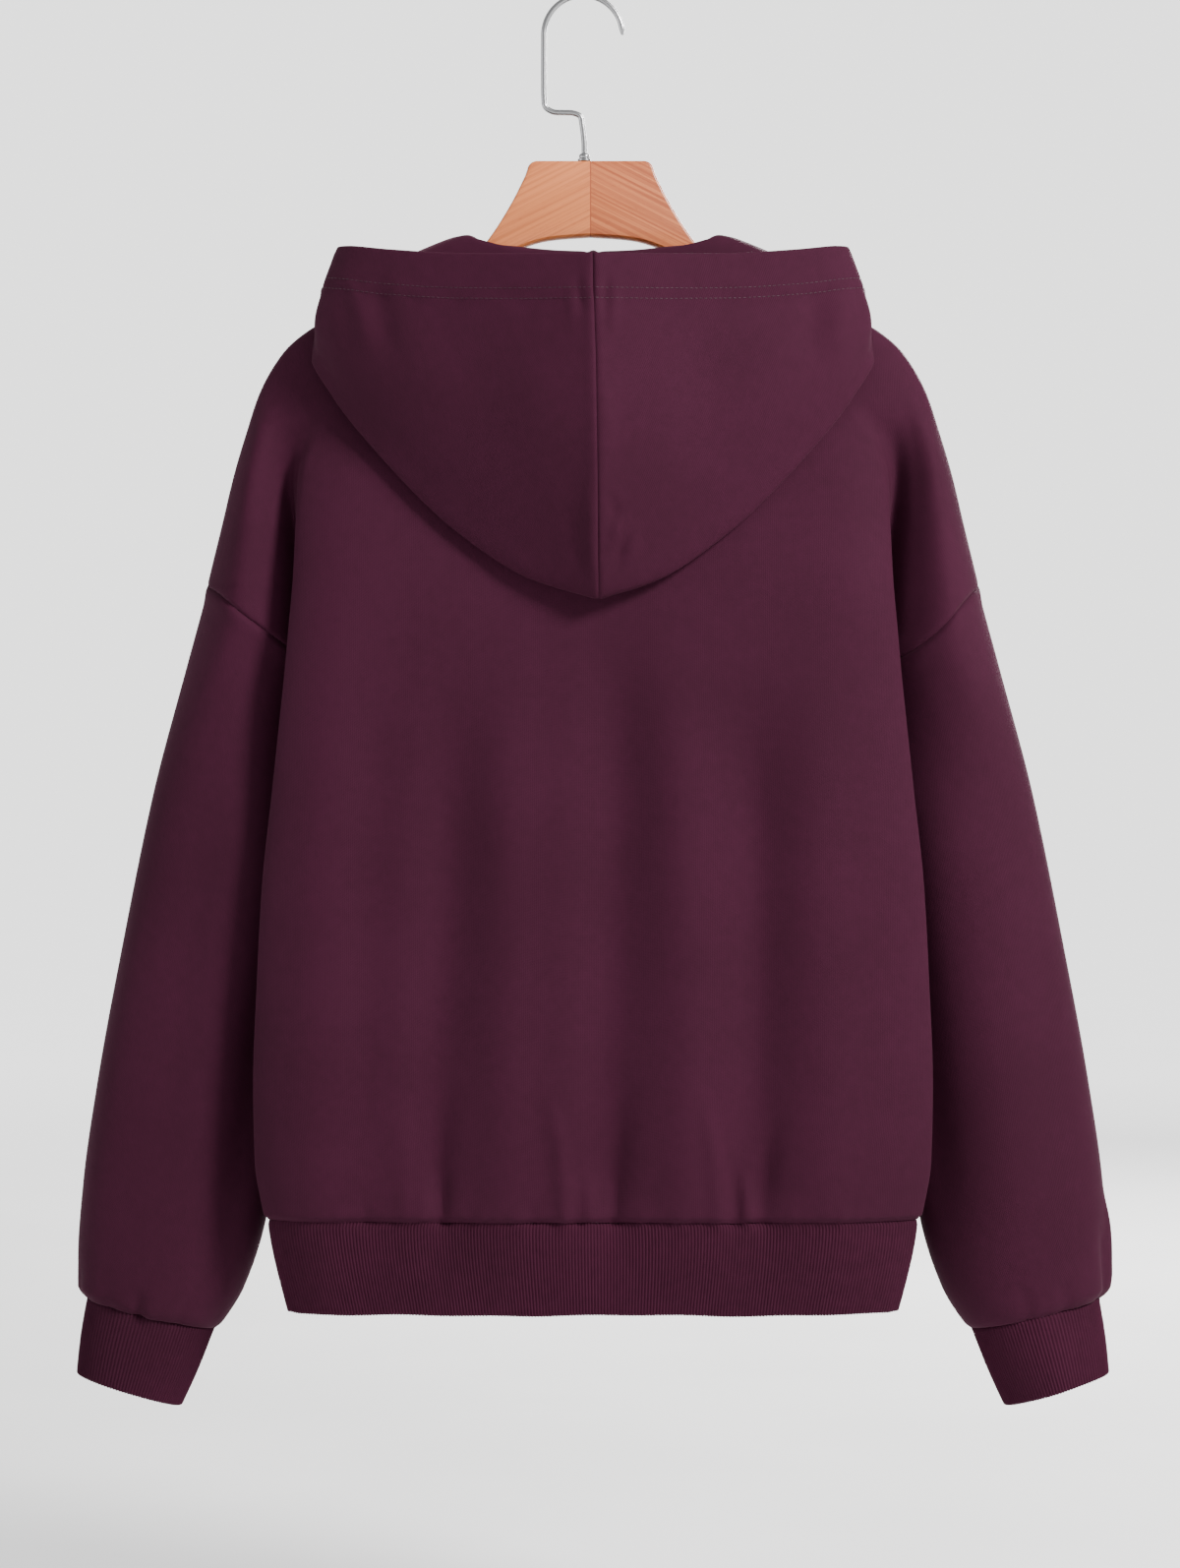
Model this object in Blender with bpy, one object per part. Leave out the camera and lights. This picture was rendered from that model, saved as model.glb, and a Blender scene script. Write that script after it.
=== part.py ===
"""A zip up hoodie hanging on a wooden hanger.

Metres, +Z up. The origin is the inside top of the hanger's hook. The garment's back faces -Y, its zip
faces +Y and its left sleeve, seen from behind, is at -X. Tables are in millimetres.
"""

import math
from collections import namedtuple

import bmesh
import bpy
import numpy as np

MM = 0.001
GARMENT_X = 6.0  # the garment hangs this far to the right of the hook
FLEECE = 2.0  # thickness of the sweatshirt knit
RIB_WALL = 2.6  # doubled rib of the cuffs and the hem band
CASING_WALL = 3.4  # doubled cloth along the hood's face edge
CASING_DEPTH = 23.0
SEAM_GAP = 0.3
RIB_PITCH = 2.3
RIB_HEIGHT = 0.45

BURGUNDY = (0.085, 0.022, 0.040)
BURGUNDY_RIB = (0.075, 0.019, 0.036)
TAPE = (0.060, 0.016, 0.030)
BEECH = (0.62, 0.34, 0.19)
STEEL = (0.62, 0.62, 0.63)

# Half sections of the body and the dropped shoulders, from the neck down to the hem seam.
# outer: half width at the shoulder line or armhole; back, front: depth at the centre;
# valley: how far the side valley has opened; fold, front_fold: half width of the body's side folds;
# side, side_back, side_front: the valley's bottom, which becomes the side seam; lobe: half depth of
# the dropped shoulder; outer_y: its middle.
BodyLevel = namedtuple(
    "BodyLevel",
    "z outer back front valley fold front_fold side side_back side_front lobe outer_y",
)
BODY_LEVELS = (
    BodyLevel(-150, 77, 14, 16, 0.00, 62, 62, 66, -8, 8, 8, 0),
    BodyLevel(-176, 125, 15, 17, 0.00, 100, 100, 106, -10, 10, 9, 0),
    BodyLevel(-203, 175, 17, 19, 0.00, 140, 140, 150, -12, 13, 11, 0),
    BodyLevel(-215, 188, 18, 20, 0.00, 152, 152, 163, -13, 14, 12, 0),
    BodyLevel(-239, 202, 21, 22, 0.00, 166, 165, 178, -15, 17, 14, 0),
    BodyLevel(-263, 210, 26, 26, 0.10, 172, 170, 184, -17, 20, 16, 0),
    BodyLevel(-286, 217, 32, 31, 0.50, 174, 172, 184, -16, 22, 18, 1),
    BodyLevel(-322, 226, 40, 37, 0.92, 176, 172, 180, -11, 22, 23, 3),
    BodyLevel(-353, 234, 45, 41, 1.00, 178, 170, 176, -7, 21, 28, 6),
    BodyLevel(-382, 241, 47, 43, 1.00, 181, 168, 171, -3, 18, 32, 8),
    BodyLevel(-430, 254, 49, 45, 1.00, 186, 161, 152, 9, 9, 36, 12),
    BodyLevel(-478, 265, 51, 47, 1.00, 191, 158, 150, 11, 11, 36, 14),
    BodyLevel(-536, 278, 54, 49, 1.00, 197, 164, 158, 11, 11, 36, 14),
    BodyLevel(-595, 289, 56, 50, 1.00, 200, 170, 166, 10, 10, 36, 14),
    BodyLevel(-653, 299, 57, 50, 1.00, 202, 177, 174, 9, 9, 36, 14),
    BodyLevel(-700, 307, 55, 49, 1.00, 201, 183, 180, 8, 8, 36, 14),
    BodyLevel(-736, 312, 51, 46, 1.00, 195, 186, 184, 6, 6, 36, 14),
)
LENS_POWER = 4.0  # how square the shoulders are in plan
LENS_SHARES = (0.0, 0.24, 0.46, 0.63, 0.74, 0.80, 0.85, 0.90, 0.96, 1.0)
FOLD_PARAMETER = 5.0  # the section's parameter under the side fold
SIDE_PARAMETER = 6.0  # at the valley's bottom or the side seam

# Rows of the panels: height at the side, and at the centre of the back and of the front.
# neckline: exponent that makes the row round, as a neckline, or nearly straight.
# reach: the section's parameter at which the row ends.
PanelRow = namedtuple("PanelRow", "side back front neckline reach")
SHOULDER_ROWS = (
    PanelRow(-150, -171, -238, 0.50, 9.0),
    PanelRow(-163, -182, -244, 0.65, 9.0),
    PanelRow(-180, -197, -253, 0.80, 9.0),
    PanelRow(-200, -214, -264, 0.90, 9.0),
    PanelRow(-218, -230, -276, 1.00, 9.0),
    PanelRow(-246, -255, -292, 1.00, 9.0),
    PanelRow(-282, -288, -312, 1.00, 9.0),
    PanelRow(-320, -323, -336, 1.00, 9.0),
    PanelRow(-353, -353, -358, 1.00, 9.0),
)
ARMHOLE_ROWS = (
    PanelRow(-357, -357, -361, 1.00, 8.55),
    PanelRow(-363, -363, -366, 1.00, 8.05),
    PanelRow(-370, -370, -372, 1.00, 7.50),
    PanelRow(-378, -378, -379, 1.00, 6.95),
    PanelRow(-388, -388, -388, 1.00, 6.45),
    PanelRow(-401, -401, -401, 1.00, 6.18),
    PanelRow(-415, -415, -415, 1.00, 6.06),
    PanelRow(-430, -430, -430, 1.00, 6.00),
)
BODY_ROWS = tuple(
    PanelRow(z, z, z, 1.0, SIDE_PARAMETER)
    for z in (-462, -500, -545, -592, -640, -686, -716, -735.5)
)
PANEL_ROWS = SHOULDER_ROWS + ARMHOLE_ROWS + BODY_ROWS
SHOULDER_ROW = len(SHOULDER_ROWS) - 1
UNDERARM_ROW = SHOULDER_ROW + len(ARMHOLE_ROWS)
FOLD_COLUMNS = 10
SIDE_COLUMNS = 6

# Soft vertical folds of the cloth: a ridge is positive, a trough is negative.
Drape = namedtuple("Drape", "x_top z_top x_bottom z_bottom width height")
BACK_DRAPES = (
    Drape(-150, -400, -158, -735, 26, 2.5),
    Drape(-112, -420, -118, -735, 20, -2.5),
    Drape(-78, -430, -74, -735, 17, -4.0),
    Drape(-40, -420, -38, -735, 22, 3.0),
    Drape(28, -430, 27, -735, 18, -4.0),
    Drape(60, -420, 66, -735, 20, 3.0),
    Drape(105, -440, 104, -735, 17, -4.0),
    Drape(142, -400, 148, -735, 26, 3.0),
)
FRONT_DRAPES = (
    Drape(-128, -380, -138, -735, 24, 3.0),
    Drape(-84, -420, -92, -735, 20, -3.5),
    Drape(-46, -430, -52, -735, 18, 3.0),
    Drape(42, -420, 40, -735, 18, 2.5),
    Drape(80, -430, 88, -735, 20, -3.5),
    Drape(124, -400, 134, -735, 24, 3.0),
)
DRAPE_FADE = 90.0

# Outer and inner edges of the sleeve, seen from behind, and its half depth and middle.
SleeveLevel = namedtuple("SleeveLevel", "share outer_z outer_x inner_z inner_x depth middle")
SLEEVE_LEVELS = (
    SleeveLevel(0.00, -353, 234, -430, 152, 36, 10),
    SleeveLevel(0.12, -404, 247, -472, 160, 37, 13),
    SleeveLevel(0.30, -482, 266, -540, 170, 37, 14),
    SleeveLevel(0.50, -570, 284, -615, 182, 36, 14),
    SleeveLevel(0.70, -657, 300, -690, 195, 35, 14),
    SleeveLevel(0.84, -718, 309, -744, 204, 34, 13),
    SleeveLevel(0.94, -762, 313, -782, 213, 31, 12),
    SleeveLevel(0.985, -780, 314, -801, 222, 28, 11),
    SleeveLevel(1.00, -788, 309, -807, 229, 25, 11),
)
SLEEVE_SHARES = (
    0.0, 0.045, 0.10, 0.17, 0.26, 0.36, 0.47, 0.58, 0.69, 0.79, 0.88, 0.94, 0.975, 1.0,
)
ARMHOLE_BLEND = 0.30
CROTCH_GAP = 3.4  # the sleeve's edge stays this far clear where the underarm folds

# The cuff's top and bottom openings: outer and inner edge, half depth and middle.
CuffEnd = namedtuple("CuffEnd", "outer_x outer_z inner_x inner_z depth middle")
CUFF_TOP = CuffEnd(309.0, -788.5, 229.0, -807.5, 24.6, 11.0)
CUFF_BOTTOM = CuffEnd(314.2, -832.5, 250.0, -853.0, 20.5, 11.0)
CUFF_RIBS = 88
CUFF_INNER_COLUMNS = 28

# The hem band's top and bottom.
HemEnd = namedtuple("HemEnd", "z fold front_fold side side_y back front")
HEM_TOP = HemEnd(-735.8, 192.0, 183.0, 181.5, 6.0, 49.0, 46.0)
HEM_BOTTOM = HemEnd(-788.0, 181.0, 174.0, 171.0, 5.0, 46.5, 44.5)
HEM_INNER_COLUMNS = 34
ZIP_OPENING = 5.5  # from the centre to each front edge

# Sections of one hood half, from the centre back round to the centre front. Each runs from the neck
# seam over the roll, down the inner layer to the fold, and up the outer layer to the face edge.
HoodSection = namedtuple(
    "HoodSection",
    "around roll_x roll_y roll_z inner_x inner_y inner_z fold_x fold_y fold_z"
    " outer_x outer_y outer_z face_x face_y face_z",
)
HOOD_SECTIONS = (
    HoodSection(0.00, 0, -18, -163, 0, -39, -270, 0, -57, -363, 0, -89, -262, 0, -80, -169),
    HoodSection(0.10, 20, -18, -162, 27, -38, -262, 37, -56, -351, 40, -88, -255, 40, -79, -168),
    HoodSection(0.20, 40, -17, -159, 60, -35, -240, 80, -51, -322, 84, -83, -238, 82, -73, -166),
    HoodSection(0.30, 58, -15, -154, 94, -29, -212, 123, -43, -279, 127, -71, -216, 120, -62, -162),
    HoodSection(0.40, 76, -11, -148, 124, -22, -188, 153, -33, -240, 158, -54, -196, 147, -48, -158),
    HoodSection(0.47, 86, -6, -146, 138, -13, -172, 169, -20, -208, 172, -34, -186, 157, -34, -156),
    HoodSection(0.52, 92, 1, -147, 138, 1, -166, 166, 1, -183, 171, -8, -176, 160, -16, -156),
    HoodSection(0.60, 86, 17, -156, 117, 20, -171, 144, 20, -180, 151, 13, -174, 147, 5, -161),
    HoodSection(0.72, 70, 26, -190, 85, 28, -191, 100, 28, -195, 107, 25, -190, 106, 19, -183),
    HoodSection(0.86, 38, 27, -220, 48, 30, -216, 57, 31, -212, 61, 30, -208, 61, 26, -204),
    HoodSection(1.00, 6, 26, -234, 6, 28, -230, 7, 30, -226, 7, 30, -222, 7, 28, -218),
)
HOOD_ROWS = (0.0, 0.04, 0.09, 0.17, 0.28, 0.39, 0.48, 0.54, 0.61, 0.70, 0.79, 0.87, 0.94, 1.0)
NECK_GAP = 2.8  # the hood's edge stays this far clear beside the neck point

# Hanger. The shoulders are a flat piece of wood; the hook is bent wire.
HANGER_X = 4.5
WOOD_THICKNESS = 9.0
WIRE_RADIUS = 1.7
HOOK_RADIUS = 23.8
COLLAR_RADIUS = 4.0
COLLAR_HEIGHT = 4.5

# Zip.
CHAIN_WIDTH = 5.4
CHAIN_THICKNESS = 2.4
CHAIN_TOP = -246.0
CHAIN_BOTTOM = -783.0
TAPE_WIDTH = 12.0
TAPE_THICKNESS = 0.9
SLIDER_LENGTH = 11.0
SLIDER_WIDTH = 8.4
SLIDER_PLATE = 1.3
TAB_LENGTH = 27.0
TAB_WIDTH = 6.4
TAB_THICKNESS = 1.1
TAB_EYE = 6.0  # from the axis to the eye's lower edge
TAB_EYE_WIDTH = 3.2
BRIDGE_WIDTH = 2.2


def clear_scene():
    for item in list(bpy.data.objects):
        bpy.data.objects.remove(item, do_unlink=True)


def finish(name, color, roughness, metallic=0.0):
    material = bpy.data.materials.new(name)
    material.use_nodes = True
    shader = material.node_tree.nodes["Principled BSDF"]
    shader.inputs["Base Color"].default_value = (*color, 1.0)
    shader.inputs["Roughness"].default_value = roughness
    shader.inputs["Metallic"].default_value = metallic
    return material


def along(rows, column, at):
    """A smooth curve through one column of a table whose first column rises or falls."""
    knots = np.array([row[0] for row in rows], float)
    values = np.array([getattr(row, column) for row in rows], float)
    if knots[0] > knots[-1]:
        knots, values = knots[::-1], values[::-1]
    at = min(max(at, knots[0]), knots[-1])
    slopes = np.diff(values) / np.diff(knots)
    tangents = np.zeros(len(knots))
    for i in range(1, len(knots) - 1):
        if slopes[i - 1] * slopes[i] > 0:
            tangents[i] = 2 * slopes[i - 1] * slopes[i] / (slopes[i - 1] + slopes[i])
    tangents[0], tangents[-1] = slopes[0], slopes[-1]
    i = int(min(np.searchsorted(knots, at, side="right") - 1, len(knots) - 2))
    i = max(i, 0)
    step = knots[i + 1] - knots[i]
    t = (at - knots[i]) / step
    return (
        values[i] * (1 + 2 * t) * (1 - t) ** 2
        + values[i + 1] * t * t * (3 - 2 * t)
        + step * (tangents[i] * t * (1 - t) ** 2 - tangents[i + 1] * t * t * (1 - t))
    )


def row_at(rows, at):
    """The whole row of a table at one place between its knots."""
    kind = type(rows[0])
    return kind(at, *(along(rows, column, at) for column in kind._fields[1:]))


def spline(points, parameter):
    """A curve through points, the first and last of which only steer it. The parameter starts at 0."""
    i = int(min(max(math.floor(parameter), 0), len(points) - 4))
    t = parameter - i
    a, b, c, d = (np.asarray(points[i + k], float) for k in range(4))
    return 0.5 * (
        2 * b + (c - a) * t + (2 * a - 5 * b + 4 * c - d) * t * t + (3 * b - a - 3 * c + d) * t**3
    )


def smooth(value):
    value = min(max(value, 0.0), 1.0)
    return value * value * (3 - 2 * value)


def lens_depth(x, z, depth):
    outer = along(BODY_LEVELS, "outer", z)
    share = min(abs(x) / outer, 1.0)
    return depth * math.sqrt(max(1 - share**LENS_POWER, 0.0))


def fold_points(level, facing):
    """The section of one panel in plan: body, side fold, valley and dropped shoulder."""
    if facing < 0:
        fold, depth, seam_y = level.fold, level.back, level.side_back
        under = (0.45 * fold + 0.55 * level.side, -0.36 * depth)
    else:
        fold, depth, seam_y = level.front_fold, level.front, level.side_front
        under = (0.5 * fold + 0.5 * level.side, 0.5 * depth)
    reach = level.outer - level.side
    return [
        (0.0, facing * depth),
        (0.30 * fold, facing * depth),
        (0.60 * fold, facing * 0.99 * depth),
        (0.86 * fold, facing * 0.93 * depth),
        (fold, facing * 0.68 * depth),
        under,
        (level.side, seam_y),
        (level.side + 0.26 * reach, level.outer_y + facing * 0.70 * level.lobe),
        (level.side + 0.66 * reach, level.outer_y + facing * level.lobe),
        (level.outer, level.outer_y),
    ]


def folded_section(z, parameter, facing):
    level = row_at(BODY_LEVELS, z)
    own = fold_points(level, facing)
    other = fold_points(level, -facing)
    start = (-own[1][0], own[1][1])
    opened = smooth((-353.0 - z) / (430.0 - 353.0))
    own[7] = tuple((1 - opened) * p + opened * q for p, q in zip(own[7], other[5]))
    return spline([start, *own, other[8]], parameter)


def drape(x, z, drapes):
    total = 0.0
    for fold in drapes:
        share = (fold.z_top - z) / (fold.z_top - fold.z_bottom)
        middle = fold.x_top + (fold.x_bottom - fold.x_top) * min(max(share, 0.0), 1.0)
        fade = smooth((fold.z_top - z) / DRAPE_FADE + 0.3)
        total += fold.height * fade * math.exp(-(((x - middle) / fold.width) ** 2))
    return total


def panel_point(row, parameter, facing, side):
    """One point of the outside of the back (facing -1) or a front (facing 1)."""
    share = parameter / row.reach
    centre = row.back if facing < 0 else row.front
    z = row.side + (centre - row.side) * (1 - share**2) ** row.neckline
    opened = along(BODY_LEVELS, "valley", row.side)
    plain_x = along(BODY_LEVELS, "outer", row.side) * lens_share(parameter)
    depth = along(BODY_LEVELS, "back" if facing < 0 else "front", z)
    plain = np.array((plain_x, facing * lens_depth(plain_x, z, depth)))
    folded = folded_section(min(z, BODY_LEVELS[0].z), parameter, facing)
    x, y = (1 - opened) * plain + opened * folded
    drapes = BACK_DRAPES if facing < 0 else FRONT_DRAPES
    flat = smooth((SIDE_PARAMETER - parameter) / 2.0)
    y += facing * drape(side * x, z, drapes) * flat
    return side * x, y, z


def lens_share(parameter):
    i = int(min(math.floor(parameter), len(LENS_SHARES) - 2))
    return LENS_SHARES[i] + (parameter - i) * (LENS_SHARES[i + 1] - LENS_SHARES[i])


def row_parameters(row):
    """Parameters of a row's points from the centre to its end."""
    inner = [FOLD_PARAMETER * j / FOLD_COLUMNS for j in range(FOLD_COLUMNS)]
    reach = row.reach - FOLD_PARAMETER
    return inner + [FOLD_PARAMETER + reach * j / SIDE_COLUMNS for j in range(SIDE_COLUMNS + 1)]


def half_panel(facing, side):
    """Points of half a panel, rows from the neck down and columns from the centre outwards."""
    return np.array(
        [
            [panel_point(row, parameter, facing, side) for parameter in row_parameters(row)]
            for row in PANEL_ROWS
        ]
    )


def unit(vectors):
    return vectors / np.maximum(np.linalg.norm(vectors, axis=-1, keepdims=True), 1e-9)


def grid_normals(points, wrap=False):
    """Normals of a grid, from the slope along its rows and its columns."""
    if wrap:
        across = np.roll(points, -1, axis=1) - np.roll(points, 1, axis=1)
    else:
        across = np.gradient(points, axis=1)
    down = np.gradient(points, axis=0)
    return unit(np.cross(across, down))


def facing_out(normals, outside):
    """Turns all of a grid's normals together, so that most of them point to the outside."""
    return normals if (normals * outside).sum() > 0 else -normals


def pull_back(grids, edges, distance):
    """Moves the edges of a wall's two grids away from the neighbouring piece.

    The distance is one number, or one for each point of the first row.
    """
    for grid in grids:
        old = grid.copy()
        for edge in edges:
            if edge == "first_row":
                grid[0] += np.reshape(distance, (-1, 1)) * unit(old[1] - old[0])
            elif edge == "last_row":
                grid[-1] += distance * unit(old[-2] - old[-1])
            elif edge == "first_column":
                grid[:, 0] += distance * unit(old[:, 1] - old[:, 0])
            elif edge == "last_column":
                grid[:, -1] += distance * unit(old[:, -2] - old[:, -1])


def add_object(name, vertices, faces, material, smooth_angle=50.0):
    mesh = bpy.data.meshes.new(name)
    mesh.from_pydata([tuple(MM * c for c in v) for v in vertices], [], faces)
    mesh.validate()
    body = bmesh.new()
    body.from_mesh(mesh)
    bmesh.ops.recalc_face_normals(body, faces=body.faces)
    bmesh.ops.triangulate(body, faces=[f for f in body.faces if len(f.verts) > 3])
    body.to_mesh(mesh)
    body.free()
    mesh.shade_smooth()
    mesh.set_sharp_from_angle(angle=math.radians(smooth_angle))
    mesh.materials.append(material)
    item = bpy.data.objects.new(name, mesh)
    bpy.context.scene.collection.objects.link(item)
    return item


def wall(name, outer, inner, material, wrap=False):
    """A closed wall between two grids of the same size. With wrap the columns close into a tube."""
    rows, columns = outer.shape[:2]
    vertices = [*outer.reshape(-1, 3), *inner.reshape(-1, 3)]
    shift = rows * columns
    faces = []

    def at(i, j, layer=0):
        return layer * shift + i * columns + j % columns

    spans = columns if wrap else columns - 1
    for i in range(rows - 1):
        for j in range(spans):
            faces.append((at(i, j), at(i, j + 1), at(i + 1, j + 1), at(i + 1, j)))
            faces.append((at(i, j, 1), at(i + 1, j, 1), at(i + 1, j + 1, 1), at(i, j + 1, 1)))
    for j in range(spans):
        for i in (0, rows - 1):
            faces.append((at(i, j), at(i, j, 1), at(i, j + 1, 1), at(i, j + 1)))
    if not wrap:
        for i in range(rows - 1):
            for j in (0, columns - 1):
                faces.append((at(i, j), at(i + 1, j), at(i + 1, j, 1), at(i, j, 1)))
    return add_object(name, vertices, faces, material)


def ribbed_wall(name, outer_rows, inner_rows, material, wrap):
    """A wall whose outside has many columns, for its ribs, and whose inside has few."""
    tops, bottoms = outer_rows
    inner_tops, inner_bottoms = inner_rows
    many, few = len(tops), len(inner_tops)
    vertices = [*tops, *bottoms, *inner_tops, *inner_bottoms]
    first_inner = 2 * many
    faces = []
    many_spans = many if wrap else many - 1
    few_spans = few if wrap else few - 1
    for j in range(many_spans):
        following = (j + 1) % many
        faces.append((j, following, many + following, many + j))
    for j in range(few_spans):
        following = (j + 1) % few
        a, b = first_inner + j, first_inner + following
        faces.append((a, a + few, b + few, b))
    for outer_start, inner_start in ((0, first_inner), (many, first_inner + few)):
        reached = 0
        for j in range(many_spans):
            a = outer_start + j
            b = outer_start + (j + 1) % many
            faces.append((a, b, inner_start + reached % few))
            wanted = int(round((j + 1) * few_spans / many_spans))
            while reached < wanted:
                faces.append((b, inner_start + (reached + 1) % few, inner_start + reached % few))
                reached += 1
    if not wrap:
        for j, k in ((0, 0), (many - 1, few - 1)):
            faces.append((j, many + j, first_inner + few + k, first_inner + k))
    return add_object(name, vertices, faces, material, smooth_angle=30.0)


def shifted(points):
    """Garment points in the frame's own X."""
    points = np.array(points, float)
    points[..., 0] += GARMENT_X
    return points


def body_and_sleeves(cloth):
    halves = {}
    normals = {}
    for facing in (-1, 1):
        for side in (-1, 1):
            points = half_panel(facing, side)
            halves[facing, side] = points
            outside = np.array((0.0, facing, 0.0))
            normals[facing, side] = facing_out(grid_normals(points), outside)
    sleeves = {side: sleeve_points(halves, side) for side in (-1, 1)}
    for side in (-1, 1):
        sleeve = sleeves[side]
        middle = sleeve.mean(axis=1, keepdims=True)
        sleeve_normals = facing_out(grid_normals(sleeve, wrap=True), sleeve - middle)
        share_normals(normals, sleeve_normals, side)
        inner = sleeve - FLEECE * sleeve_normals
        grids = [sleeve.copy(), inner]
        pull_back(grids, ("first_row",), armhole_gaps(sleeve.shape[1]))
        name = "sleeve_left" if side < 0 else "sleeve_right"
        wall(name, shifted(grids[0]), shifted(grids[1]), cloth, wrap=True)
    centre = (normals[-1, 1][:, 0] + normals[-1, -1][:, 0]) / 2
    normals[-1, 1][:, 0] = normals[-1, -1][:, 0] = unit(centre)
    back = np.concatenate([halves[-1, -1][:, :0:-1], halves[-1, 1]], axis=1)
    back_normals = np.concatenate([normals[-1, -1][:, :0:-1], normals[-1, 1]], axis=1)
    grids = [back.copy(), back - FLEECE * back_normals]
    pull_back(grids, ("first_column", "last_column"), SEAM_GAP)
    pull_back(grids, ("first_row",), SEAM_GAP)
    wall("back", shifted(grids[0]), shifted(grids[1]), cloth)
    for side, name in ((-1, "front_left"), (1, "front_right")):
        outer = halves[1, side].copy()
        inner = outer - FLEECE * normals[1, side]
        grids = [outer, inner]
        for grid in grids:
            grid[:, 0, 0] = side * ZIP_OPENING
        pull_back(grids, ("last_column",), SEAM_GAP)
        pull_back(grids, ("first_row",), neck_gaps(outer.shape[1]))
        wall(name, shifted(grids[0]), shifted(grids[1]), cloth)
    return halves


def armhole_gaps(count):
    """Distance of each point of the sleeve's edge from the body: most at the underarm."""
    steps = count // 2
    return np.array([SEAM_GAP + CROTCH_GAP * (min(k, count - k) / steps) ** 4 for k in range(count)])


def share_normals(normals, sleeve_normals, side):
    """Gives the pieces that meet in a seam one direction for their thickness there."""
    back, front = normals[-1, side], normals[1, side]
    around = sleeve_normals.shape[1]
    for i in range(len(PANEL_ROWS)):
        if i <= SHOULDER_ROW or i >= UNDERARM_ROW:
            shared = unit(back[i, -1] + front[i, -1])
            back[i, -1] = front[i, -1] = shared
    crotch = np.array((0.0, 0.0, -0.5))
    for i in range(SHOULDER_ROW, UNDERARM_ROW + 1):
        step = i - SHOULDER_ROW
        for panel, column in ((back, step), (front, -step % around)):
            down = crotch * step / (UNDERARM_ROW - SHOULDER_ROW)
            shared = unit(panel[i, -1] + sleeve_normals[0, column] + down)
            panel[i, -1] = sleeve_normals[0, column] = shared
    front[UNDERARM_ROW, -1] = back[UNDERARM_ROW, -1]
    front[SHOULDER_ROW, -1] = back[SHOULDER_ROW, -1]


def sleeve_points(halves, side):
    """Rings of a sleeve: the first is the armhole, and the others are ovals down to the cuff."""
    steps = UNDERARM_ROW - SHOULDER_ROW
    rows = range(SHOULDER_ROW, UNDERARM_ROW + 1)
    down_back = [halves[-1, side][i, -1] for i in rows]
    up_front = [halves[1, side][i, -1] for i in reversed(rows)][1:-1]
    armhole = np.array(down_back + up_front)
    angles = [math.pi * k / steps for k in range(2 * steps)]
    first = sleeve_ring(0.0, angles, side)
    rings = []
    for share in SLEEVE_SHARES:
        left = 1 - smooth(share / ARMHOLE_BLEND)
        rings.append(sleeve_ring(share, angles, side) + left * (armhole - first))
    return np.array(rings)


def sleeve_ring(share, angles, side):
    level = row_at(SLEEVE_LEVELS, share)
    outer = np.array((side * level.outer_x, level.middle, level.outer_z))
    inner = np.array((side * level.inner_x, level.middle, level.inner_z))
    return oval(outer, inner, level.depth, angles)


def oval(outer, inner, depth, angles):
    """A ring from its outer edge (angle 0) over its back to its inner edge and its front."""
    middle, arm = (outer + inner) / 2, (outer - inner) / 2
    return np.array(
        [
            middle + math.cos(a) * arm + np.array((0.0, -depth * math.sin(a), 0.0))
            for a in angles
        ]
    )


def cuffs(rib):
    for side, name in ((-1, "cuff_left"), (1, "cuff_right")):
        outer_rows, inner_rows = [], []
        for end in (CUFF_TOP, CUFF_BOTTOM):
            outer = np.array((side * end.outer_x, end.middle, end.outer_z))
            inner = np.array((side * end.inner_x, end.middle, end.inner_z))
            middle = (outer + inner) / 2
            count = 2 * CUFF_RIBS
            ring = oval(outer, inner, end.depth, [2 * math.pi * k / count for k in range(count)])
            ring[1::2] -= RIB_HEIGHT * unit(ring[1::2] - middle)
            count = CUFF_INNER_COLUMNS
            plain = oval(outer, inner, end.depth, [2 * math.pi * k / count for k in range(count)])
            plain -= (RIB_WALL + RIB_HEIGHT) * unit(plain - middle)
            drop = np.array((0.0, 0.0, -SEAM_GAP if end is CUFF_TOP else 0.0))
            outer_rows.append(shifted(ring + drop))
            inner_rows.append(shifted(plain + drop))
        ribbed_wall(name, outer_rows, inner_rows, rib, wrap=True)


def hem_section(end, count):
    """The hem band in plan, from the left side of the zip round the back to the right side."""
    points = []
    for facing, side in ((1, -1), (-1, -1), (-1, 1), (1, 1)):
        fold = end.fold if facing < 0 else end.front_fold
        depth = end.back if facing < 0 else end.front
        under = (0.45 * fold + 0.55 * end.side, facing * (0.36 if facing < 0 else 0.5) * depth)
        quarter = [
            (0.0, facing * depth),
            (0.30 * fold, facing * depth),
            (0.60 * fold, facing * 0.99 * depth),
            (0.86 * fold, facing * 0.93 * depth),
            (fold, facing * 0.68 * depth),
            under,
            (end.side, end.side_y),
        ]
        quarter = [(side * x, y) for x, y in quarter]
        if facing == side:
            quarter.reverse()
        points += quarter if not points else quarter[1:]
    dense = [
        spline([points[0], *points, points[-1]], t)
        for t in np.linspace(0, len(points) - 1, 1601)
    ]
    dense = np.array([p for p in dense if abs(p[0]) > ZIP_OPENING or p[1] < 0])
    lengths = np.concatenate([[0], np.cumsum(np.linalg.norm(np.diff(dense, axis=0), axis=1))])
    even = np.linspace(0, lengths[-1], count)
    plan = np.stack([np.interp(even, lengths, dense[:, k]) for k in (0, 1)], axis=1)
    return np.column_stack([plan, np.full(count, end.z)]), lengths[-1]


def plan_normals(points):
    along_edge = np.gradient(points[:, :2], axis=0)
    flat = np.column_stack([along_edge[:, 1], -along_edge[:, 0], np.zeros(len(points))])
    return facing_out(unit(flat), points - points.mean(axis=0))


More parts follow.
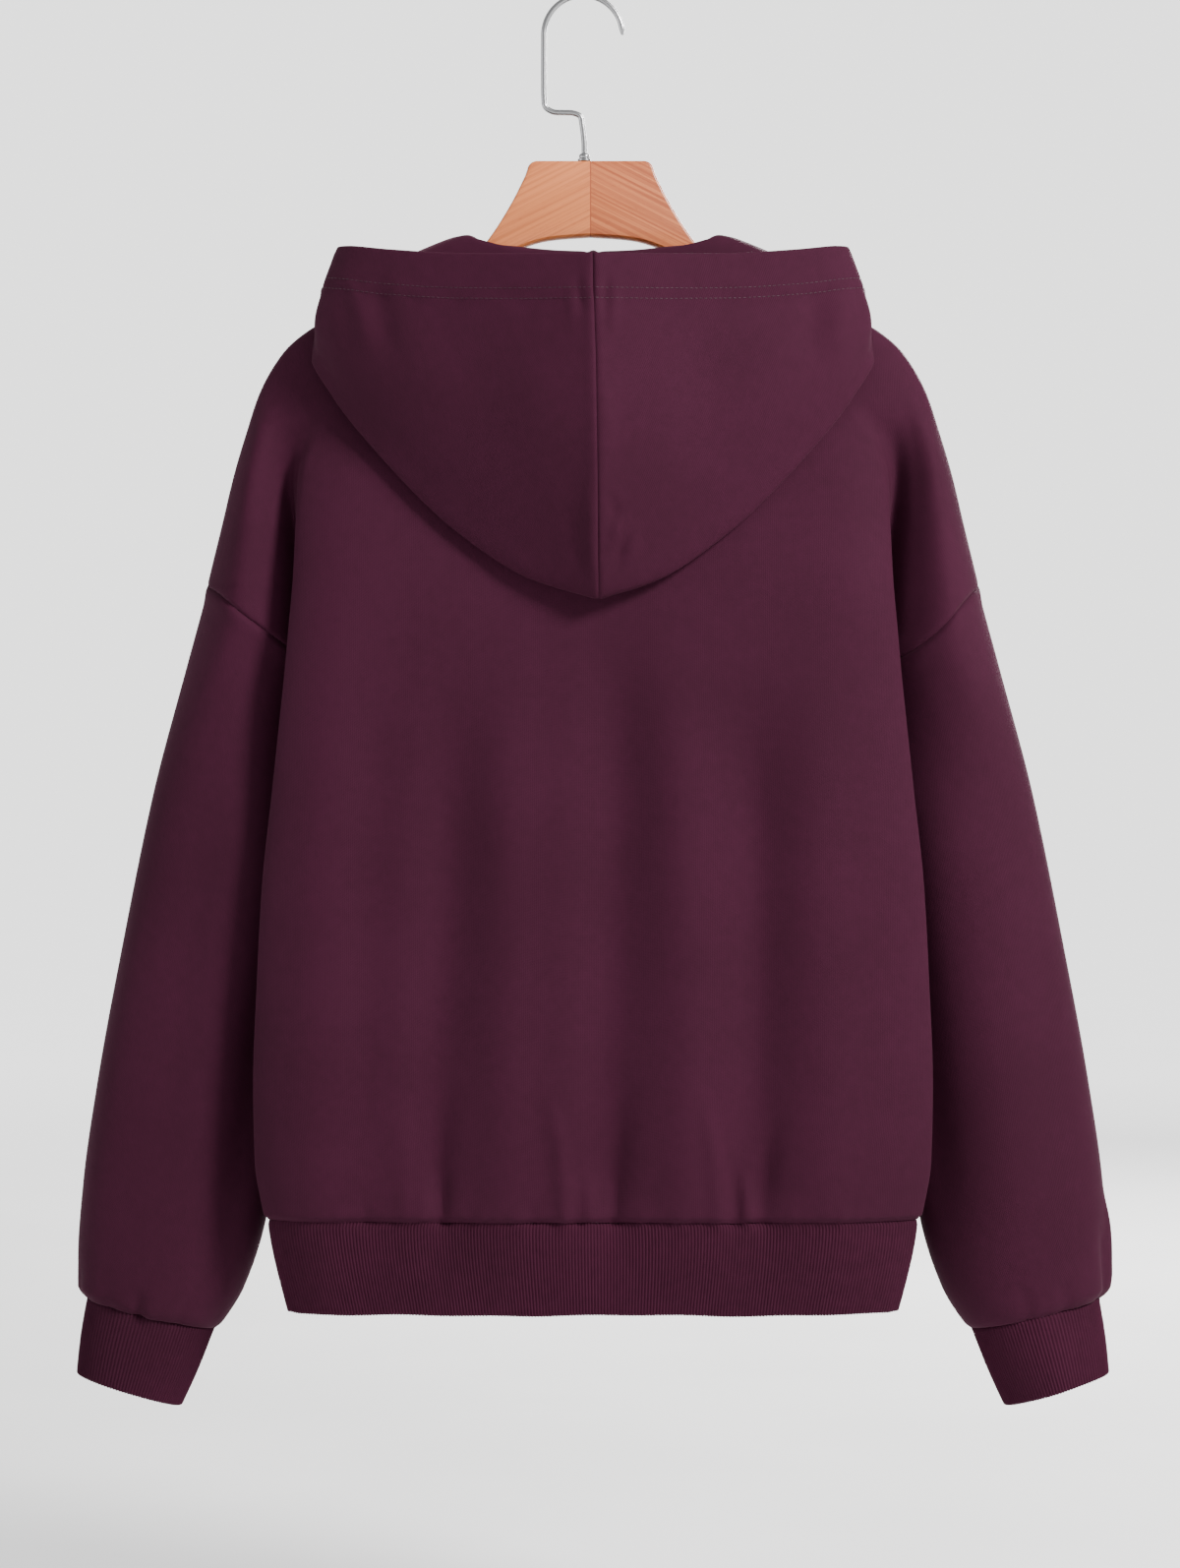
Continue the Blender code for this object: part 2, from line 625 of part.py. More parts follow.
def hem_band(rib):
    length = hem_section(HEM_TOP, 9)[1]
    columns = 2 * int(length / RIB_PITCH / 2) * 2 + 1
    outer_rows, inner_rows = [], []
    for end in (HEM_TOP, HEM_BOTTOM):
        outer, _ = hem_section(end, columns)
        outer[1::2] -= RIB_HEIGHT * plan_normals(outer)[1::2]
        inner, _ = hem_section(end, 2 * HEM_INNER_COLUMNS)
        inner -= (RIB_WALL + RIB_HEIGHT) * plan_normals(inner)
        outer_rows.append(shifted(outer))
        inner_rows.append(shifted(inner))
    ribbed_wall("hem_band", outer_rows, inner_rows, rib, wrap=False)


def hood(cloth, halves):
    """Two halves that start at the neck seam and meet at the centre back."""
    for side, name in ((-1, "hood_left"), (1, "hood_right")):
        back_neck = halves[-1, side][0][::2]
        front_neck = halves[1, side][0][::-1][::2][1:]
        neck = np.concatenate([back_neck, front_neck])
        neck[-1, 0] = side * ZIP_OPENING
        steps = np.linalg.norm(np.diff(neck, axis=0), axis=1)
        lengths = np.concatenate([[0], np.cumsum(steps)])
        split = lengths[len(back_neck) - 1]
        columns = []
        for seam, length in zip(neck, lengths):
            if length <= split:
                around = 0.5 * length / split
            else:
                around = 0.5 + 0.5 * (length - split) / (lengths[-1] - split)
            columns.append([hood_point(seam, around, share, side) for share in HOOD_ROWS])
        points = np.array(columns).transpose(1, 0, 2)
        normals = grid_normals(points)
        last_outside = np.zeros_like(normals)
        last_outside[8:11] = (0.0, -1.0, 0.0)
        last_outside[:, len(back_neck):] = 0.0
        normals = facing_out(normals, last_outside)
        normals[:, 0, 0] = 0.0
        normals[:, 0] = unit(normals[:, 0])
        inner = points - casing_thickness(points)[..., None] * normals
        grids = [points, inner]
        for grid in grids:
            grid[:, 0, 0] = side * SEAM_GAP / 2
        back_gaps = np.full(len(back_neck), 2 * SEAM_GAP)
        front_gaps = neck_gaps(2 * len(front_neck) + 1)[::-1][::2][1:]
        pull_back(grids, ("first_row",), np.concatenate([back_gaps, front_gaps]))
        wall(name, shifted(grids[0]), shifted(grids[1]), cloth)


def neck_gaps(count):
    """Distance of a front's neck edge from the hood, from the zip to the neck point."""
    shares = np.linspace(0, 1, count)
    return SEAM_GAP + NECK_GAP / 2 * np.array([smooth((s - 0.35) / 0.3) for s in shares])


def hood_point(seam, around, share, side):
    section = row_at(HOOD_SECTIONS, around)
    path = [
        seam,
        (side * section.roll_x, section.roll_y, section.roll_z),
        (side * section.inner_x, section.inner_y, section.inner_z),
        (side * section.fold_x, section.fold_y, section.fold_z),
        (side * section.outer_x, section.outer_y, section.outer_z),
        (side * section.face_x, section.face_y, section.face_z),
    ]
    start = 2 * np.array(path[0]) - np.array(path[1])
    end = 2 * np.array(path[-1]) - np.array(path[-2])
    lengths = [0.0, 0.08, 0.28, 0.54, 0.79, 1.0]
    parameter = float(np.interp(share, lengths, range(6)))
    return spline([start, *path, end], parameter)


def casing_thickness(points):
    """The wall is thicker along the hood's face edge, where the cloth is doubled."""
    steps = np.linalg.norm(np.diff(points, axis=0), axis=2)
    below = np.cumsum(steps[::-1], axis=0)[::-1]
    from_edge = np.concatenate([below, np.zeros((1, points.shape[1]))])
    return np.where(from_edge < CASING_DEPTH, CASING_WALL, FLEECE)


def front_centre(z):
    """Depth of the fronts' outside at the zip."""
    if z < HEM_TOP.z:
        share = (HEM_TOP.z - z) / (HEM_TOP.z - HEM_BOTTOM.z)
        return HEM_TOP.front + share * (HEM_BOTTOM.front - HEM_TOP.front)
    return along(BODY_LEVELS, "front", z) + drape(0.0, z, FRONT_DRAPES)


def strip(name, half_section, z_values, material):
    """A narrow bar along the zip, from its section's corners (x, inwards) and heights."""
    vertices, faces = [], []
    for z in z_values:
        for x, inwards in half_section:
            vertices.append((GARMENT_X + x, front_centre(z) - inwards, z))
    corners = len(half_section)
    for i in range(len(z_values) - 1):
        for j in range(corners):
            a, b = i * corners + j, i * corners + (j + 1) % corners
            faces.append((a, b, b + corners, a + corners))
    faces.append(tuple(range(corners)))
    last = (len(z_values) - 1) * corners
    faces.append(tuple(last + j for j in range(corners)))
    return add_object(name, vertices, faces, material)


def bar_section(x_low, x_high, inwards_low, inwards_high):
    return [(x_low, inwards_low), (x_high, inwards_low), (x_high, inwards_high), (x_low, inwards_high)]


def block(name, size, material, bevel=0.4):
    """A box with rounded edges, centred on its own origin."""
    shape = bmesh.new()
    bmesh.ops.create_cube(shape, size=1.0)
    for vertex in shape.verts:
        vertex.co = [c * s * MM for c, s in zip(vertex.co, size)]
    bmesh.ops.bevel(
        shape, geom=list(shape.edges), offset=bevel * MM, segments=1, affect="EDGES", profile=0.5
    )
    mesh = bpy.data.meshes.new(name)
    shape.to_mesh(mesh)
    shape.free()
    mesh.materials.append(material)
    item = bpy.data.objects.new(name, mesh)
    bpy.context.scene.collection.objects.link(item)
    return item


def extruded(name, outline, low, high, material):
    """A flat outline in the YZ plane, extruded along X from low to high."""
    count = len(outline)
    vertices = [(x, y, z) for x in (low, high) for y, z in outline]
    faces = [tuple(range(count)), tuple(range(count, 2 * count))]
    faces += [(j, (j + 1) % count, count + (j + 1) % count, count + j) for j in range(count)]
    return add_object(name, vertices, faces, material)


def zip_parts(tape, steel):
    heights = list(np.linspace(CHAIN_TOP, CHAIN_BOTTOM, 22))
    slack = 1.4  # the tapes hang this far behind the fronts
    under = FLEECE + SEAM_GAP + slack
    chain_low = under - (CHAIN_THICKNESS - TAPE_THICKNESS) / 2
    chain_high = chain_low + CHAIN_THICKNESS
    half = CHAIN_WIDTH / 2
    strip("zip_chain", bar_section(-half, half, chain_low, chain_high), heights, steel)
    low, high = half + SEAM_GAP, half + SEAM_GAP + TAPE_WIDTH
    for side, name in ((-1, "zip_tape_left"), (1, "zip_tape_right")):
        section = bar_section(side * low, side * high, under, under + TAPE_THICKNESS)
        strip(name, section, heights, tape)
    place = np.array((GARMENT_X, front_centre(CHAIN_TOP), CHAIN_TOP))
    slope = math.atan2(front_centre(CHAIN_TOP - 20) - front_centre(CHAIN_TOP), 20.0)
    plates, bridge = slider_outlines(chain_low, chain_high)
    slider = extruded("zip_slider", plates, -SLIDER_WIDTH / 2, SLIDER_WIDTH / 2, steel)
    arch = extruded("bridge", bridge, -BRIDGE_WIDTH / 2, BRIDGE_WIDTH / 2, steel)
    arch.hide_render = True
    arch.display_type = "WIRE"
    for item in (slider, arch):
        item.location = place * MM
        item.rotation_euler = (slope, 0.0, 0.0)
    union = slider.modifiers.new("Bridge", "BOOLEAN")
    union.operation = "UNION"
    union.solver = "EXACT"
    union.object = arch
    tab = pull_tab(steel)
    pivot_y, pivot_z = tab_pivot(chain_low)
    tab.location = (
        place
        + np.array(
            (
                0.0,
                pivot_y * math.cos(slope) - pivot_z * math.sin(slope),
                pivot_y * math.sin(slope) + pivot_z * math.cos(slope),
            )
        )
    ) * MM
    tab.rotation_euler = (slope, 0.0, 0.0)
    box = block("zip_bottom_box", (7.0, 3.6, 5.0), steel)
    bottom = front_centre(CHAIN_BOTTOM) - (chain_low + chain_high) / 2
    box.location = np.array((GARMENT_X, bottom, CHAIN_BOTTOM - SEAM_GAP - 2.5)) * MM


def slider_outlines(chain_low, chain_high):
    """A slider from the side: two plates round the chain, joined above it, and the tab's bridge."""
    near, far = -chain_low + SEAM_GAP, -chain_high - SEAM_GAP
    top, bottom = 4.0, 4.0 - SLIDER_LENGTH
    post = 1.7
    outside = near + SLIDER_PLATE
    plates = [
        (far, post),
        (far, bottom + 1.0),
        (far - 1.0, bottom + 1.5),
        (far - SLIDER_PLATE, top - 1.0),
        (far - 0.4, top),
        (outside - 0.4, top),
        (outside, top - 0.8),
        (outside, bottom),
        (near, bottom),
        (near, post),
    ]
    root, crest, rim = outside - 0.5, outside + 3.0, outside + 1.9
    bridge = [
        (root, 3.4),
        (crest, 2.6),
        (crest, -3.4),
        (root, -4.2),
        (root, -3.1),
        (rim, -2.5),
        (rim, 1.7),
        (root, 2.3),
    ]
    return plates, bridge


def tab_pivot(chain_low):
    """The bar's axis in the slider's own Y and Z, in the lower part of the bridge."""
    outside = -chain_low + SEAM_GAP + SLIDER_PLATE
    return outside + 0.95, -1.4


def pull_tab(steel):
    """A flat tab whose eye goes round the bridge. Its origin is the axis of the eye's upper bar."""
    half, thick = TAB_WIDTH / 2, TAB_THICKNESS / 2
    outline = [(-half, thick), (half, thick), (half, -TAB_LENGTH + 2.0), (half - 2.0, -TAB_LENGTH)]
    outline += [(-half + 2.0, -TAB_LENGTH), (-half, -TAB_LENGTH + 2.0)]
    tab = add_plate("zip_pull_tab", outline, -thick, thick, steel)
    eye_half = TAB_EYE_WIDTH / 2
    eye = [(-eye_half, -thick), (eye_half, -thick), (eye_half, -TAB_EYE), (-eye_half, -TAB_EYE)]
    cutter = add_plate("eye", eye, -2 * thick, 2 * thick, steel)
    cutter.hide_render = True
    cutter.display_type = "WIRE"
    cutter.parent = tab
    cut = tab.modifiers.new("Eye", "BOOLEAN")
    cut.operation = "DIFFERENCE"
    cut.solver = "EXACT"
    cut.object = cutter
    return tab


def add_plate(name, outline, low, high, material):
    """A flat outline in the XZ plane, extruded along Y."""
    count = len(outline)
    vertices = [(x, y, z) for y in (low, high) for x, z in outline]
    faces = [tuple(range(count)), tuple(range(count, 2 * count))]
    faces += [(j, (j + 1) % count, count + (j + 1) % count, count + j) for j in range(count)]
    return add_object(name, vertices, faces, material)


def arc(centre, radius, start, end, steps):
    """Points of a circle's arc in the XZ plane, angles in degrees."""
    angles = [math.radians(start + (end - start) * k / steps) for k in range(steps + 1)]
    return [(centre[0] + radius * math.cos(a), centre[1] + radius * math.sin(a)) for a in angles]


def curve_through(points, steps):
    """More points on a smooth curve through a few."""
    guided = [points[0], *points, points[-1]]
    values = [spline(guided, t) for t in np.linspace(0, len(points) - 1, steps)]
    return [(float(v[0]), float(v[1])) for v in values]


def hanger(wood, steel):
    neck = arc((32.3, -105.0), 6.0, 90, 8, 4)
    flank = curve_through([(38.6, -106), (46.5, -122), (56, -138), (66, -152), (74, -162), (92, -173.5)], 12)
    shoulder = [(132.0, -194.0), (161.0, -210.0)]
    tip = arc((160.0, -219.0), 9.0, 75, -110, 5)
    under = curve_through([(146, -220.5), (110, -201), (80, -176), (55, -158.5), (30, -148), (0, -145)], 16)
    right = neck + flank[1:] + shoulder + tip + under
    left = [(-x, z) for x, z in reversed(right[:-1])]
    outline = [(HANGER_X + x, z) for x, z in right + left]
    item = add_plate("hanger_wood", outline, -WOOD_THICKNESS / 2, WOOD_THICKNESS / 2, wood)
    edges = item.modifiers.new("Rounded edges", "BEVEL")
    edges.width = 2.0 * MM
    edges.segments = 1
    edges.limit_method = "ANGLE"
    edges.angle_limit = math.radians(50)

    top = -99.0
    collar = bmesh.new()
    bmesh.ops.create_cone(
        collar,
        cap_ends=True,
        segments=20,
        radius1=COLLAR_RADIUS * MM,
        radius2=(COLLAR_RADIUS - 0.8) * MM,
        depth=COLLAR_HEIGHT * MM,
    )
    mesh = bpy.data.meshes.new("hook_collar")
    collar.to_mesh(mesh)
    collar.free()
    mesh.shade_smooth()
    mesh.set_sharp_from_angle(angle=math.radians(40))
    mesh.materials.append(steel)
    item = bpy.data.objects.new("hook_collar", mesh)
    item.location = (0.8 * MM, 0.0, (top + SEAM_GAP + COLLAR_HEIGHT / 2) * MM)
    bpy.context.scene.collection.objects.link(item)

    centre = (0.0, WIRE_RADIUS - HOOK_RADIUS)
    route = [(0.8, top + 2 * SEAM_GAP + COLLAR_HEIGHT), (0.6, -86.0), (-0.6, -76.0)]
    route += [(-1.8, -71.5), (-6.0, -69.5), (-12.0, -69.2), (-18.0, -68.8), (-22.6, -66.0)]
    route += [(-23.6, -61.0), (-23.8, -50.0), (-23.8, -36.0)]
    bends = curve_through(route, 24)
    bow = arc(centre, HOOK_RADIUS, 180, 0, 16)
    wire = bpy.data.curves.new("hanger_hook", "CURVE")
    wire.dimensions = "3D"
    line = wire.splines.new("POLY")
    points = bends + bow
    line.points.add(len(points) - 1)
    for point, (x, z) in zip(line.points, points):
        point.co = (x * MM, 0.0, z * MM, 1.0)
    wire.bevel_depth = WIRE_RADIUS * MM
    wire.bevel_resolution = 2
    wire.use_fill_caps = True
    wire.materials.append(steel)
    bpy.context.scene.collection.objects.link(bpy.data.objects.new("hanger_hook", wire))


def build():
    clear_scene()
    cloth = finish("sweatshirt knit", BURGUNDY, 0.85)
    rib = finish("rib knit", BURGUNDY_RIB, 0.85)
    tape = finish("zip tape", TAPE, 0.8)
    wood = finish("beech", BEECH, 0.45)
    steel = finish("steel", STEEL, 0.3, 1.0)
    halves = body_and_sleeves(cloth)
    hood(cloth, halves)
    cuffs(rib)
    hem_band(rib)
    zip_parts(tape, steel)
    hanger(wood, steel)


build()
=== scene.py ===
"""The looks of a zip up hoodie on a wooden hanger, in the frame of its solid parts.

Metres, +Z up, with the origin at the inside top of the hanger's hook. The garment's back faces -Y and
its zip faces +Y; left is -X. Tables are in millimetres from the garment's own centre line.
"""

import math
from collections import namedtuple

import bmesh
import bpy
import numpy as np
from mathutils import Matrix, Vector


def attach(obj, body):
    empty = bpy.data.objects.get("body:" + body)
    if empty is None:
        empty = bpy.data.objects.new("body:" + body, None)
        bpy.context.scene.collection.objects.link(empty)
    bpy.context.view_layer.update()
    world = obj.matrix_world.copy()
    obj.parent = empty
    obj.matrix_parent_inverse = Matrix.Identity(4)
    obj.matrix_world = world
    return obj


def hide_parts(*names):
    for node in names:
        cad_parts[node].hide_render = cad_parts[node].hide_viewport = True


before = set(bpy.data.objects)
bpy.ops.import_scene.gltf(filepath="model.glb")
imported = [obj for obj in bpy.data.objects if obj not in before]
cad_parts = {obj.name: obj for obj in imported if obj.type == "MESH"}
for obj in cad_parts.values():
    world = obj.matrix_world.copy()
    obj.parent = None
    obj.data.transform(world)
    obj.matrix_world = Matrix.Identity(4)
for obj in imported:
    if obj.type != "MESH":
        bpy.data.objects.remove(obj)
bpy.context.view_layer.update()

# The back. A real one is a single cut of brushed sweatshirt knit, about 2 mm thick, that reaches over
# both dropped shoulders. Seams join it to the fronts, the sleeves, the hood and the hem band. It hangs
# in soft upright folds, with a deep valley at each side where the sleeve lies against it.

MM = 0.001
GARMENT_X = 6.0
FLEECE = 1.8


def rows_of(kind, *rows):
    """A table whose rows are numbers with named columns."""
    return [kind(*row) for row in rows]


# outer: half width at the shoulder line or armhole; back, front: depth at the centre; valley: how far
# the side valley has opened; fold, front_fold: half width of the body's side folds; side, side_back,
# side_front: the valley's bottom, which becomes the side seam; lobe: half depth of the dropped
# shoulder; outer_y: its middle.
BodyLevel = namedtuple(
    "BodyLevel",
    "z outer back front valley fold front_fold side side_back side_front lobe outer_y",
)
BODY_LEVELS = rows_of(
    BodyLevel,
    (-150, 77, 14, 16, 0.00, 62, 62, 66, -8, 8, 8, 0),
    (-176, 125, 15, 17, 0.00, 100, 100, 106, -10, 10, 9, 0),
    (-203, 175, 17, 19, 0.00, 140, 140, 150, -12, 13, 11, 0),
    (-215, 188, 18, 20, 0.00, 152, 152, 163, -13, 14, 12, 0),
    (-239, 202, 21, 22, 0.05, 166, 165, 178, -12, 17, 17, 0),
    (-263, 210, 27, 26, 0.55, 172, 170, 183, -9, 20, 20, 0),
    (-286, 217, 33, 31, 0.85, 174, 172, 183, -6, 22, 22, 1),
    (-322, 226, 40, 37, 0.98, 176, 172, 180, -3, 22, 26, 3),
    (-353, 234, 45, 41, 1.00, 178, 170, 176, -1, 21, 30, 6),
    (-382, 241, 47, 43, 1.00, 181, 168, 171, 2, 18, 33, 8),
    (-430, 254, 49, 45, 1.00, 186, 161, 152, 9, 9, 36, 12),
    (-478, 265, 51, 47, 1.00, 191, 158, 150, 11, 11, 36, 14),
    (-536, 278, 54, 49, 1.00, 197, 164, 158, 11, 11, 36, 14),
    (-595, 289, 56, 50, 1.00, 200, 170, 166, 10, 10, 36, 14),
    (-653, 299, 57, 50, 1.00, 202, 177, 174, 9, 9, 36, 14),
    (-700, 307, 55, 49, 1.00, 201, 183, 180, 8, 8, 36, 14),
    (-736, 312, 51, 46, 1.00, 195, 186, 184, 6, 6, 36, 14),
)

# The plan of half the body. Above the valley it is a lens, whose shares say how far out each whole
# parameter lies. Below, the body and the dropped shoulder are shares of their half widths and depths,
# the valley's wall leans to the fold, and between two heights the shoulder closes in to a sleeve's side.
LENS_POWER = 4.0
LENS_SHARES = (0.0, 0.24, 0.46, 0.63, 0.74, 0.80, 0.85, 0.90, 0.96, 1.0)
SIDE_FOLD = 5.0
SIDE_SEAM = 6.0
BODY_PLAN = ((0.0, 1.0), (0.30, 1.0), (0.60, 0.99), (0.86, 0.93), (1.0, 0.68))
VALLEY_WALL = {-1: (0.45, 0.36), 1: (0.5, 0.5)}
SHOULDER_PLAN = ((0.26, 0.70), (0.66, 1.0))
SHOULDER_CLOSES = (-392.0, -436.0)

# Rows of the panels. side, back, front: heights at the side and at each centre; neckline: how round
# the row is; reach: the section's parameter at which the row ends.
PanelRow = namedtuple("PanelRow", "step side back front neckline reach")
PANEL_ROWS = rows_of(
    PanelRow,
    (0, -150, -171, -238, 0.50, 9.0),
    (1, -163, -182, -244, 0.65, 9.0),
    (2, -180, -197, -253, 0.80, 9.0),
    (3, -200, -214, -264, 0.90, 9.0),
    (4, -218, -230, -276, 1.00, 9.0),
    (5, -246, -255, -292, 1.00, 9.0),
    (6, -282, -288, -312, 1.00, 9.0),
    (7, -320, -323, -336, 1.00, 9.0),
    (8, -353, -353, -358, 1.00, 9.0),
    (9, -359, -359, -363, 1.00, 8.55),
    (10, -368, -368, -370, 1.00, 8.05),
    (11, -379, -379, -380, 1.00, 7.50),
    (12, -391, -391, -391, 1.00, 6.95),
    (13, -401, -401, -401, 1.00, 6.45),
    (14, -410, -410, -410, 1.00, 6.18),
    (15, -419, -419, -419, 1.00, 6.06),
    (16, -430, -430, -430, 1.00, 6.00),
    (17, -582, -582, -582, 1.00, 6.00),
    (18, -735.5, -735.5, -735.5, 1.00, 6.00),
)
SHOULDER = 8
UNDERARM = 16
SHOULDER_STEPS = 50
ARMHOLE_STEPS = 28
BODY_STEPS = 76
BODY_COLUMNS = 98
SIDE_COLUMNS = 28
HEM_CROWDING = 1.6

# How much lower than in the table the armhole's seam lies on each side, and over how many of the
# table's rows that comes and goes.
SEAM_DROP = {-1: 0.0, 1: 12.0}
DROP_ROWS = (4.5, 3.5)

# Seams: how deep the cloth tucks in at a sewn edge and at the hem band, and how wide the tuck is.
EDGE_TUCK = 1.1
HEM_TUCK = 2.2
TUCK_WIDTH = 2.0

# Soft creases: a ridge is positive and a trough negative; bend bows the line sideways, and each end
# fades out over a share of the length. The short ones are gathers over the hem band.
Crease = namedtuple(
    "Crease",
    "x_top z_top x_bottom z_bottom bend width height fade_top fade_bottom",
    defaults=(0.60, 0.05),
)
BACK_CREASES = rows_of(
    Crease,
    (-162, -330, -170, -760, 3, 24, 2.5, 0.30, 0.02),
    (-122, -380, -132, -760, -4, 18, -2.0, 0.30, 0.02),
    (-84, -400, -101, -738, 5, 19, -6.4, 0.35, 0.10),
    (-52, -380, -52, -760, 3, 18, 4.2, 0.35, 0.02),
    (-22, -420, -18, -760, 2, 14, 1.2, 0.35, 0.02),
    (13, -360, 4, -740, 5, 19, -6.8, 0.30, 0.10),
    (47, -380, 54, -760, 4, 18, 4.2, 0.30, 0.02),
    (91, -400, 94, -740, 5, 18, -6.4, 0.35, 0.10),
    (130, -360, 138, -760, 2, 22, 3.8, 0.30, 0.02),
    (-114, -655, -110, -741, 2, 8, 1.8, 0.55, 0.05),
    (-100, -690, -101, -741, 1, 4, 1.8, 0.60, 0.22),
    (-84, -640, -89, -741, -4, 7, -2.6),
    (-87, -702, -89, -741, -1, 2.6, -2.2, 0.60, 0.22),
    (-28, -650, -17, -741, 4, 5, 2.6, 0.55, 0.05),
    (-3, -696, -3, -741, 1, 3, 2.0, 0.60, 0.22),
    (22, -645, 13, -741, -4, 8, -3.0, 0.55, 0.05),
    (14, -704, 12, -741, 0, 2.6, -1.9, 0.60, 0.22),
    (62, -650, 74, -741, 4, 5, 2.6, 0.55, 0.05),
    (80, -690, 84, -741, 2, 3, -2.4, 0.60, 0.22),
    (90, -702, 92, -741, 0, 3, 2.0, 0.60, 0.22),
    (112, -660, 101, -741, -4, 6, -2.4, 0.55, 0.05),
    (-150, -722, -149, -741, 0, 3, 0.7),
    (-136, -718, -134, -741, 0, 3, -0.8),
    (-124, -724, -124, -741, 0, 3, 0.6),
    (-66, -720, -67, -741, 0, 3, 0.8),
    (-52, -724, -52, -741, 0, 3, -0.6),
    (-38, -718, -36, -741, 0, 3, -0.9),
    (30, -720, 29, -741, 0, 3, 0.9),
    (44, -724, 44, -741, 0, 3, -0.6),
    (57, -720, 58, -741, 0, 3, -0.8),
    (118, -718, 117, -741, 0, 3, 0.9),
    (132, -724, 131, -741, 0, 3, -0.6),
    (148, -720, 147, -741, 0, 3, 0.7),
)


def eased(share):
    share = np.clip(share, 0.0, 1.0)
    return share * share * (3 - 2 * share)


def column(rows, name, at):
    """One column of a table as a smooth curve over the table's first column, without overshooting."""
    knots = np.array([row[0] for row in rows], float)
    values = np.array([getattr(row, name) for row in rows], float)
    if knots[0] > knots[-1]:
        knots, values = knots[::-1], values[::-1]
    at = np.clip(at, knots[0], knots[-1])
    slopes = np.diff(values) / np.diff(knots)
    before, after = slopes[:-1], slopes[1:]
    tangents = np.zeros(len(knots))
    rising = before * after > 0
    total = np.where(rising, before + after, 1.0)
    tangents[1:-1] = np.where(rising, 2 * before * after / total, 0.0)
    tangents[0], tangents[-1] = slopes[0], slopes[-1]
    i = np.clip(np.searchsorted(knots, at, side="right") - 1, 0, len(knots) - 2)
    step = knots[i + 1] - knots[i]
    t = (at - knots[i]) / step
    return (
        values[i] * (1 + 2 * t) * (1 - t) ** 2
        + values[i + 1] * t * t * (3 - 2 * t)
        + step * (tangents[i] * t * (1 - t) ** 2 - tangents[i + 1] * t * t * (1 - t))
    )


def spline(points, parameter):
    """Curves through the second last axis of points; the first and last point only steer them."""
    i = np.clip(np.floor(parameter).astype(int), 0, points.shape[-2] - 4)
    t = (parameter - i)[..., None]
    a, b, c, d = (
        np.take_along_axis(points, (i + k)[..., None, None], axis=-2)[..., 0, :] for k in range(4)
    )
    return 0.5 * (
        2 * b + (c - a) * t + (2 * a - 5 * b + 4 * c - d) * t**2 + (3 * b - a - 3 * c + d) * t**3
    )


def body_plan(fold, depth, side, seam_y, facing):
    """Half the body in plan, from the centre over the side fold to the valley's bottom."""
    lean, tuck = VALLEY_WALL[facing]
    points = [(along * fold, facing * deep * depth) for along, deep in BODY_PLAN]
    return points + [(lean * fold + (1 - lean) * side, facing * tuck * depth), (side, seam_y)]


def fold_points(z, facing):
    """Points of the half section in plan: body, side fold, valley and dropped shoulder."""
    level = {name: column(BODY_LEVELS, name, z) for name in BodyLevel._fields[1:]}
    if facing < 0:
        fold, depth, seam_y = level["fold"], level["back"], level["side_back"]
    else:
        fold, depth, seam_y = level["front_fold"], level["front"], level["side_front"]
    side, outer = level["side"], level["outer"]
    middle, lobe = level["outer_y"], level["lobe"]
    reach = outer - side
    points = body_plan(fold, depth, side, seam_y, facing)
    points += [(side + out * reach, middle + facing * deep * lobe) for out, deep in SHOULDER_PLAN]
    points.append((outer, middle))
    return np.stack([np.stack(np.broadcast_arrays(*p), axis=-1) for p in points], axis=-2)


def folded_section(z, parameter, facing):
    """The half section below the valley's start, at each height and parameter."""
    own, other = fold_points(z, facing), fold_points(z, -facing)
    start = own[..., 1:2, :] * np.array((-1.0, 1.0))
    top, bottom = SHOULDER_CLOSES
    closed = eased((top - z) / (top - bottom))[..., None]
    own[..., 7, :] = (1 - closed) * own[..., 7, :] + closed * other[..., 5, :]
    return spline(np.concatenate([start, own, other[..., 8:9, :]], axis=-2), parameter)


def creased(x, z, creases):
    """Height of the creases over a place on the cloth."""
    total = np.zeros_like(x)
    for crease in creases:
        share = (crease.z_top - z) / (crease.z_top - crease.z_bottom)
        inside = np.clip(share, 0.0, 1.0)
        middle = crease.x_top + (crease.x_bottom - crease.x_top) * inside
        middle = middle + crease.bend * np.sin(math.pi * inside)
        fade = eased(share / crease.fade_top) * eased((1 - share) / crease.fade_bottom)
        total += crease.height * fade * np.exp(-(((x - middle) / crease.width) ** 2))
    return total


def panel_steps():
    """Places of the panels' dense rows in the table of rows."""
    below = PANEL_ROWS[-1].step - UNDERARM
    return np.concatenate(
        [
            np.linspace(0, SHOULDER, SHOULDER_STEPS, endpoint=False),
            np.linspace(SHOULDER, UNDERARM, ARMHOLE_STEPS, endpoint=False),
            UNDERARM + below * (1 - (1 - np.linspace(0, 1, BODY_STEPS)) ** HEM_CROWDING),
        ]
    )


